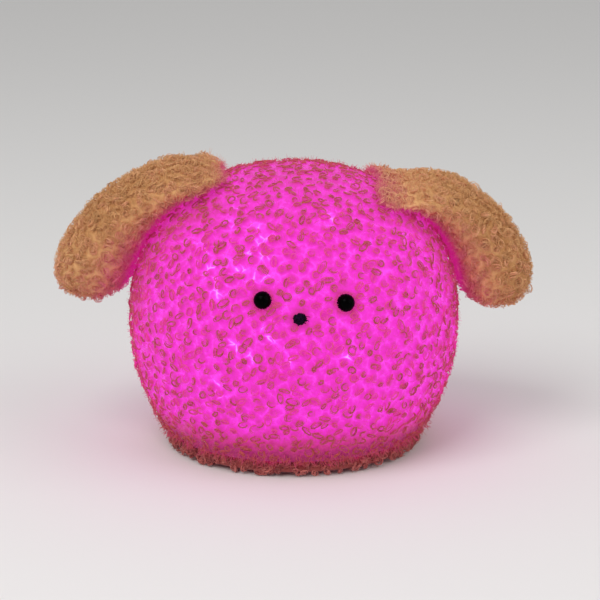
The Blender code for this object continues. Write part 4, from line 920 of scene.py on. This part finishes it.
def ear_grid(ear, inset, rows, columns):
    """The ear's lobe at an inset: superellipse rings that lie over the ball from the seam to the
    tip. The lobe swells and narrows from the seam, where it is pulled thin, closes in a blunt round
    tip, and runs out past the seam in rings that sink on the ball as a quarter of an ellipse."""
    along = 1 - np.linspace(1, 0, rows - EAR_SEAM_RINGS) ** 1.25
    share = np.concatenate([np.zeros(EAR_SEAM_RINGS), along])
    seam_turn = np.ones(rows) * math.pi / 2
    seam_turn[:EAR_SEAM_RINGS] = np.radians(np.linspace(3, 80, EAR_SEAM_RINGS))
    tip = (1 - np.clip((share - EAR_TIP_STARTS) / (1 - EAR_TIP_STARTS), 0, 0.99) ** 2.2) ** (1 / 2.2)
    half = ear_half(ear, share)
    half = half * (ear.pull + (1 - ear.pull) * smooth_step(share / ear.reach)) * np.sin(seam_turn)
    height = EAR_GAP + EAR_STANDOFF * share + half
    width = (EAR_TIP_WIDTH + (ear.wide - EAR_TIP_WIDTH) * (1 - share) ** 2.2) / 2 * tip
    inset = np.minimum(inset, half * 0.5) * tip
    lean = np.radians(ear.lean + share * (ear.tip_lean - ear.lean))
    lean = lean - (ear.past - inset) * np.cos(seam_turn) / (BALL_RADIUS + height)
    half = half * tip - inset
    width = (width - inset) * (0.66 + 0.34 * np.sin(seam_turn)) * (1 - 0.10 * np.exp(-share / 0.035))
    turn = 2 * math.pi * np.arange(columns) / columns
    up = half[:, None] * rounded(np.cos(turn), 2 / EAR_ROUNDNESS)
    across = width[:, None] * rounded(np.sin(turn), 2 / EAR_ROUNDNESS)
    out = np.stack([np.sin(lean), np.zeros(rows), np.cos(lean)], axis=1)
    angle = across / (ball_reach(out) + height)[:, None]
    way = np.cos(angle)[..., None] * out[:, None] + np.sin(angle)[..., None] * np.array([0, 1, 0])
    grid = (ball_reach(way) + height[:, None] + up)[..., None] * way
    grid[..., 2] += WIDEST_Z
    grid[..., 0] *= ear.side
    return grid[:, ::-1] if ear.side > 0 else grid


# The fleece's colours, read by tone: the darkest stops are painted shade for the hollows of the pile, and
# the rose stops, with the light they give off, are painted light from the ball.
EAR_FLEECE = glowing(
    "ear_fleece",
    [(0.0, (0.46, 0.215, 0.080)), (0.25, (0.74, 0.420, 0.190)), (0.45, (0.79, 0.400, 0.230)),
     (0.7, (0.66, 0.220, 0.210)), (1.0, (0.50, 0.055, 0.160))],
    [(0.0, (0.0, 0.0, 0.0)), (0.5, (0.02, 0.001, 0.006)), (0.75, (0.11, 0.004, 0.045)),
     (1.0, (0.30, 0.008, 0.16))],
    grain=0.0004, height=0.0001, drift=0.004, shifted_by=0.26, sheen=0.0,
)


def ear_tone(ear, tone, points):
    """The fibre's own tone, moved towards the lit end of the fleece's colours, painted light from the ball:
    fully against it, half within a few millimetres, not at all 26 mm off it, and more at the ear's lower
    end."""
    way = points - np.array([0, 0, WIDEST_Z])
    off = np.linalg.norm(way, axis=-1) - ball_reach(unit(way))
    lean = lean_of(points)
    share = np.clip((lean - ear.lean) / (ear.tip_lean - ear.lean), 0, 1)
    through = (off - EAR_GAP - EAR_STANDOFF * share) / (2 * ear_half(ear, share))
    near = 0.50 * np.clip(1 - off / 0.026, 0, 1) * (1 - 0.7 * smooth_step((through - 0.2) / 0.8))
    near = near * (0.4 + 0.6 * smooth_step((lean - ear.lean) / 12))
    near = near + 0.48 * bell(np.clip(off, 0, None), 0.0036)
    # The ball's light painted on the ear's lower end: strongest low down and on the side facing the ball.
    low = ear.lower_glow * smooth_step((0.122 - points[..., 2]) / 0.040) * (1 - 0.6 * smooth_step(through))
    return (tone + low) * (1 - near) + near


def pile_share(ear, place):
    """How tall the pile stands: about two fifths on the seam's roll, and full 14 degrees past it."""
    return 0.38 + 0.62 * smooth_step((lean_of(place) - ear.lean + 2) / 14)


def lumped(points, out, locks):
    """Points raised over each lock and lowered between them, by a bell curve of the distance to the
    nearest one."""
    raised = EAR_LUMP * (bell(nearest_distance(points, locks), EAR_LUMP_REACH) - 0.4)
    return points + out * raised[:, None]


for side_name, ear in EARS.items():
    cloth, lean = (EAR_FLEECE, f"{side_name}_ear", "ear_fleece"), math.radians(ear.lean)
    seam = ball_reach(np.array([math.sin(lean), 0, math.cos(lean)]))
    seam = np.array([ear.side * seam * math.sin(lean), 0, WIDEST_Z + seam * math.cos(lean)])
    bend = (seam, seam + EAR_BEND * np.array([ear.side * math.cos(lean), 0, -math.sin(lean)]))
    pile_grid = ear_grid(ear, 0.0, 90, 120)
    middles, out = spread(pile_grid, EAR_LOCKS)
    middles = strewn(middles, out, 0.0010)
    ear_backing = ear_grid(ear, EAR_INSET, 100, 120)
    points = lumped(ear_backing.reshape(-1, 3), grid_normals(ear_backing).reshape(-1, 3), middles)
    # The backing takes the darkest tone: painted shade in the hollows between the locks.
    filling = piece(
        f"ear_{side_name}_backing", *loft(points.reshape(ear_backing.shape)), *cloth, bend,
        glow=ear_tone(ear, 0.02, points),
    )
    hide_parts(f"ear_{side_name}")

    place, out = each_strand(middles), each_strand(out)
    place = strewn(place, out, 0.0006)
    count = len(place)
    tall = pile_share(ear, place)
    lean = each_strand(draws.uniform(0.0, 1.1, EAR_LOCKS))
    radius = each_strand(draws.uniform(*LOCK_RADIUS, EAR_LOCKS)) * draws.uniform(0.8, 1.2, count)
    lift = each_strand(draws.uniform(-0.0004, 0.0006, EAR_LOCKS)) * tall - 0.70 * radius * np.sin(lean)
    paths, axis = curl_paths(
        place, out, depth=EAR_INSET * tall, lift=lift + draws.uniform(-0.0003, 0.0003, count),
        radius=radius, lean=lean, climb=draws.uniform(0.0004, 0.0014, count),
        turns=each_strand(draws.uniform(0.8, 1.5, EAR_LOCKS)) * draws.uniform(0.9, 1.1, count),
    )
    thickness = tapered(LOCK_THICKNESS, count, CURL_RINGS, power=2)
    # The locks take lighter tones than the backing, lighter still towards their tips: painted light on the
    # raised fleece.
    tone = each_strand(draws.uniform(0.12, 0.34, EAR_LOCKS))[:, None] + 0.08 * np.linspace(0, 1, CURL_RINGS)
    glow = ear_tone(ear, tone, paths)
    bundle(f"ear_{side_name}_locks", paths, thickness, axis, glow, *cloth, bend=bend)

    place, out = spread(pile_grid, EAR_FIBRES)
    place = strewn(place, out, 0.0010)
    raised = lumped(place, out, middles)
    length = draws.uniform(*EAR_FIBRE_LENGTH, EAR_FIBRES) * np.maximum(pile_share(ear, place), 0.6)
    paths, square = arc_paths(raised, out, 0.0018, length, 2.2)
    thickness = tapered(EAR_FIBRE_THICKNESS, EAR_FIBRES, FIBRE_RINGS)
    # A fibre on a lump takes a lighter tone and one between lumps a darker one: painted light and shade.
    tone = 0.16 + 80 * ((raised - place) * out).sum(1) + draws.uniform(-0.10, 0.14, EAR_FIBRES)
    glow = ear_tone(ear, np.clip(tone, 0, 1)[:, None], paths)
    bundle(f"ear_{side_name}_fuzz", paths, thickness, square, glow, *cloth, bend=bend)

    # The seam is lost in long fibres that are combed over it, up the ball.
    ring, column = draws.integers(0, 16, EAR_FRINGE), draws.integers(0, pile_grid.shape[1], EAR_FRINGE)
    place, out = pile_grid[ring, column], grid_normals(pile_grid)[ring, column]
    from_middle = place - [0, 0, WIDEST_Z]
    uphill = unit(np.cross(np.cross(from_middle, [0.0, 0.0, 1.0]), from_middle))
    way = unit(0.5 * out + 0.9 * uphill + 0.35 * draws.normal(size=place.shape))
    paths, square = arc_paths(place, way, 0.0010, draws.uniform(*EAR_FRINGE_LENGTH, EAR_FRINGE), 1.4)
    thickness = tapered(EAR_FRINGE_THICKNESS, EAR_FRINGE, FIBRE_RINGS)
    glow = ear_tone(ear, draws.uniform(0.15, 0.50, EAR_FRINGE)[:, None], paths)
    bundle(f"ear_{side_name}_fringe", paths, thickness, square, glow, *cloth, bend=bend)

# The floor: a plain pale sheet, which the world behind it matches.
PALE = (0.80, 0.79, 0.78)
FLOOR_HALF = 6.0
floor_mesh = bpy.data.meshes.new("floor")
floor_corners = [(x * FLOOR_HALF, y * FLOOR_HALF, 0) for x, y in ((-1, -1), (1, -1), (1, 1), (-1, 1))]
floor_mesh.from_pydata(floor_corners, [], [(0, 1, 2, 3)])
pale_floor = surface_of("pale_floor", Base_Color=(*PALE, 1), Roughness=0.9, Specular_IOR_Level=0.1)
floor_mesh.materials.append(pale_floor[0])
floor = in_scene("floor", floor_mesh)

# The light: an even pale world, a large soft lamp above on the left, and a weaker one on the right.
WORLD_LEVEL = 0.55
world = bpy.data.worlds.new("studio")
bpy.context.scene.world = world
world.use_nodes = True
tree = world.node_tree
soft = tree.nodes["Background"]
soft.inputs["Color"].default_value = (1, 1, 1, 1)
soft.inputs["Strength"].default_value = WORLD_LEVEL
seen = tree.nodes.new("ShaderNodeBackground")
seen.inputs["Color"].default_value = (*PALE, 1)
seen.inputs["Strength"].default_value = WORLD_LEVEL
ray = tree.nodes.new("ShaderNodeLightPath").outputs
either = math_of(tree, "MAXIMUM", ray["Is Camera Ray"], ray["Is Glossy Ray"])
mix = tree.nodes.new("ShaderNodeMixShader")
link(tree, math_of(tree, "MAXIMUM", either, ray["Is Transmission Ray"]), mix.inputs["Fac"])
link(tree, soft.outputs["Background"], mix.inputs[1])
link(tree, seen.outputs["Background"], mix.inputs[2])
link(tree, mix.outputs["Shader"], tree.nodes["World Output"].inputs["Surface"])
bpy.context.scene.view_settings.view_transform = "Standard"


def soft_lamp(name, at, aim, size, watts):
    """A square lamp of this side in metres, turned to face a point."""
    lamp = bpy.data.lights.new(name, "AREA")
    lamp.size = size
    lamp.energy = watts
    made = in_scene(name, lamp)
    way = np.array(aim) - np.array(at)
    made.location = at
    made.rotation_euler = (
        math.atan2(math.hypot(way[0], way[1]), -way[2]), 0, math.atan2(way[1], way[0]) - math.pi / 2
    )
    return made


soft_lamp("key", at=(-0.7, -0.9, 1.3), aim=(0, 0, WIDEST_Z), size=1.0, watts=14)
soft_lamp("fill", at=(1.1, -0.6, 0.7), aim=(0, 0, WIDEST_Z), size=1.2, watts=5)

# The camera: at the height of a person looking across a table, turned slightly to the lamp's left.
CAMERA_AZIMUTH = math.radians(-3.2)
CAMERA_ELEVATION = math.radians(14)
CAMERA_DISTANCE = 0.9
CAMERA_AIM = (0.0028, 0.0, 0.0673)
WIDTH_SEEN = 0.282
SENSOR = 36.0
camera_data = bpy.data.cameras.new("camera")
camera_data.sensor_width = SENSOR
camera_data.lens = SENSOR * CAMERA_DISTANCE / WIDTH_SEEN
camera = in_scene("camera", camera_data)
level = CAMERA_DISTANCE * math.cos(CAMERA_ELEVATION)
camera.location = (
    CAMERA_AIM[0] + level * math.sin(CAMERA_AZIMUTH),
    CAMERA_AIM[1] - level * math.cos(CAMERA_AZIMUTH),
    CAMERA_AIM[2] + CAMERA_DISTANCE * math.sin(CAMERA_ELEVATION),
)
camera.rotation_euler = (math.pi / 2 - CAMERA_ELEVATION, 0, CAMERA_AZIMUTH)
bpy.context.scene.camera = camera
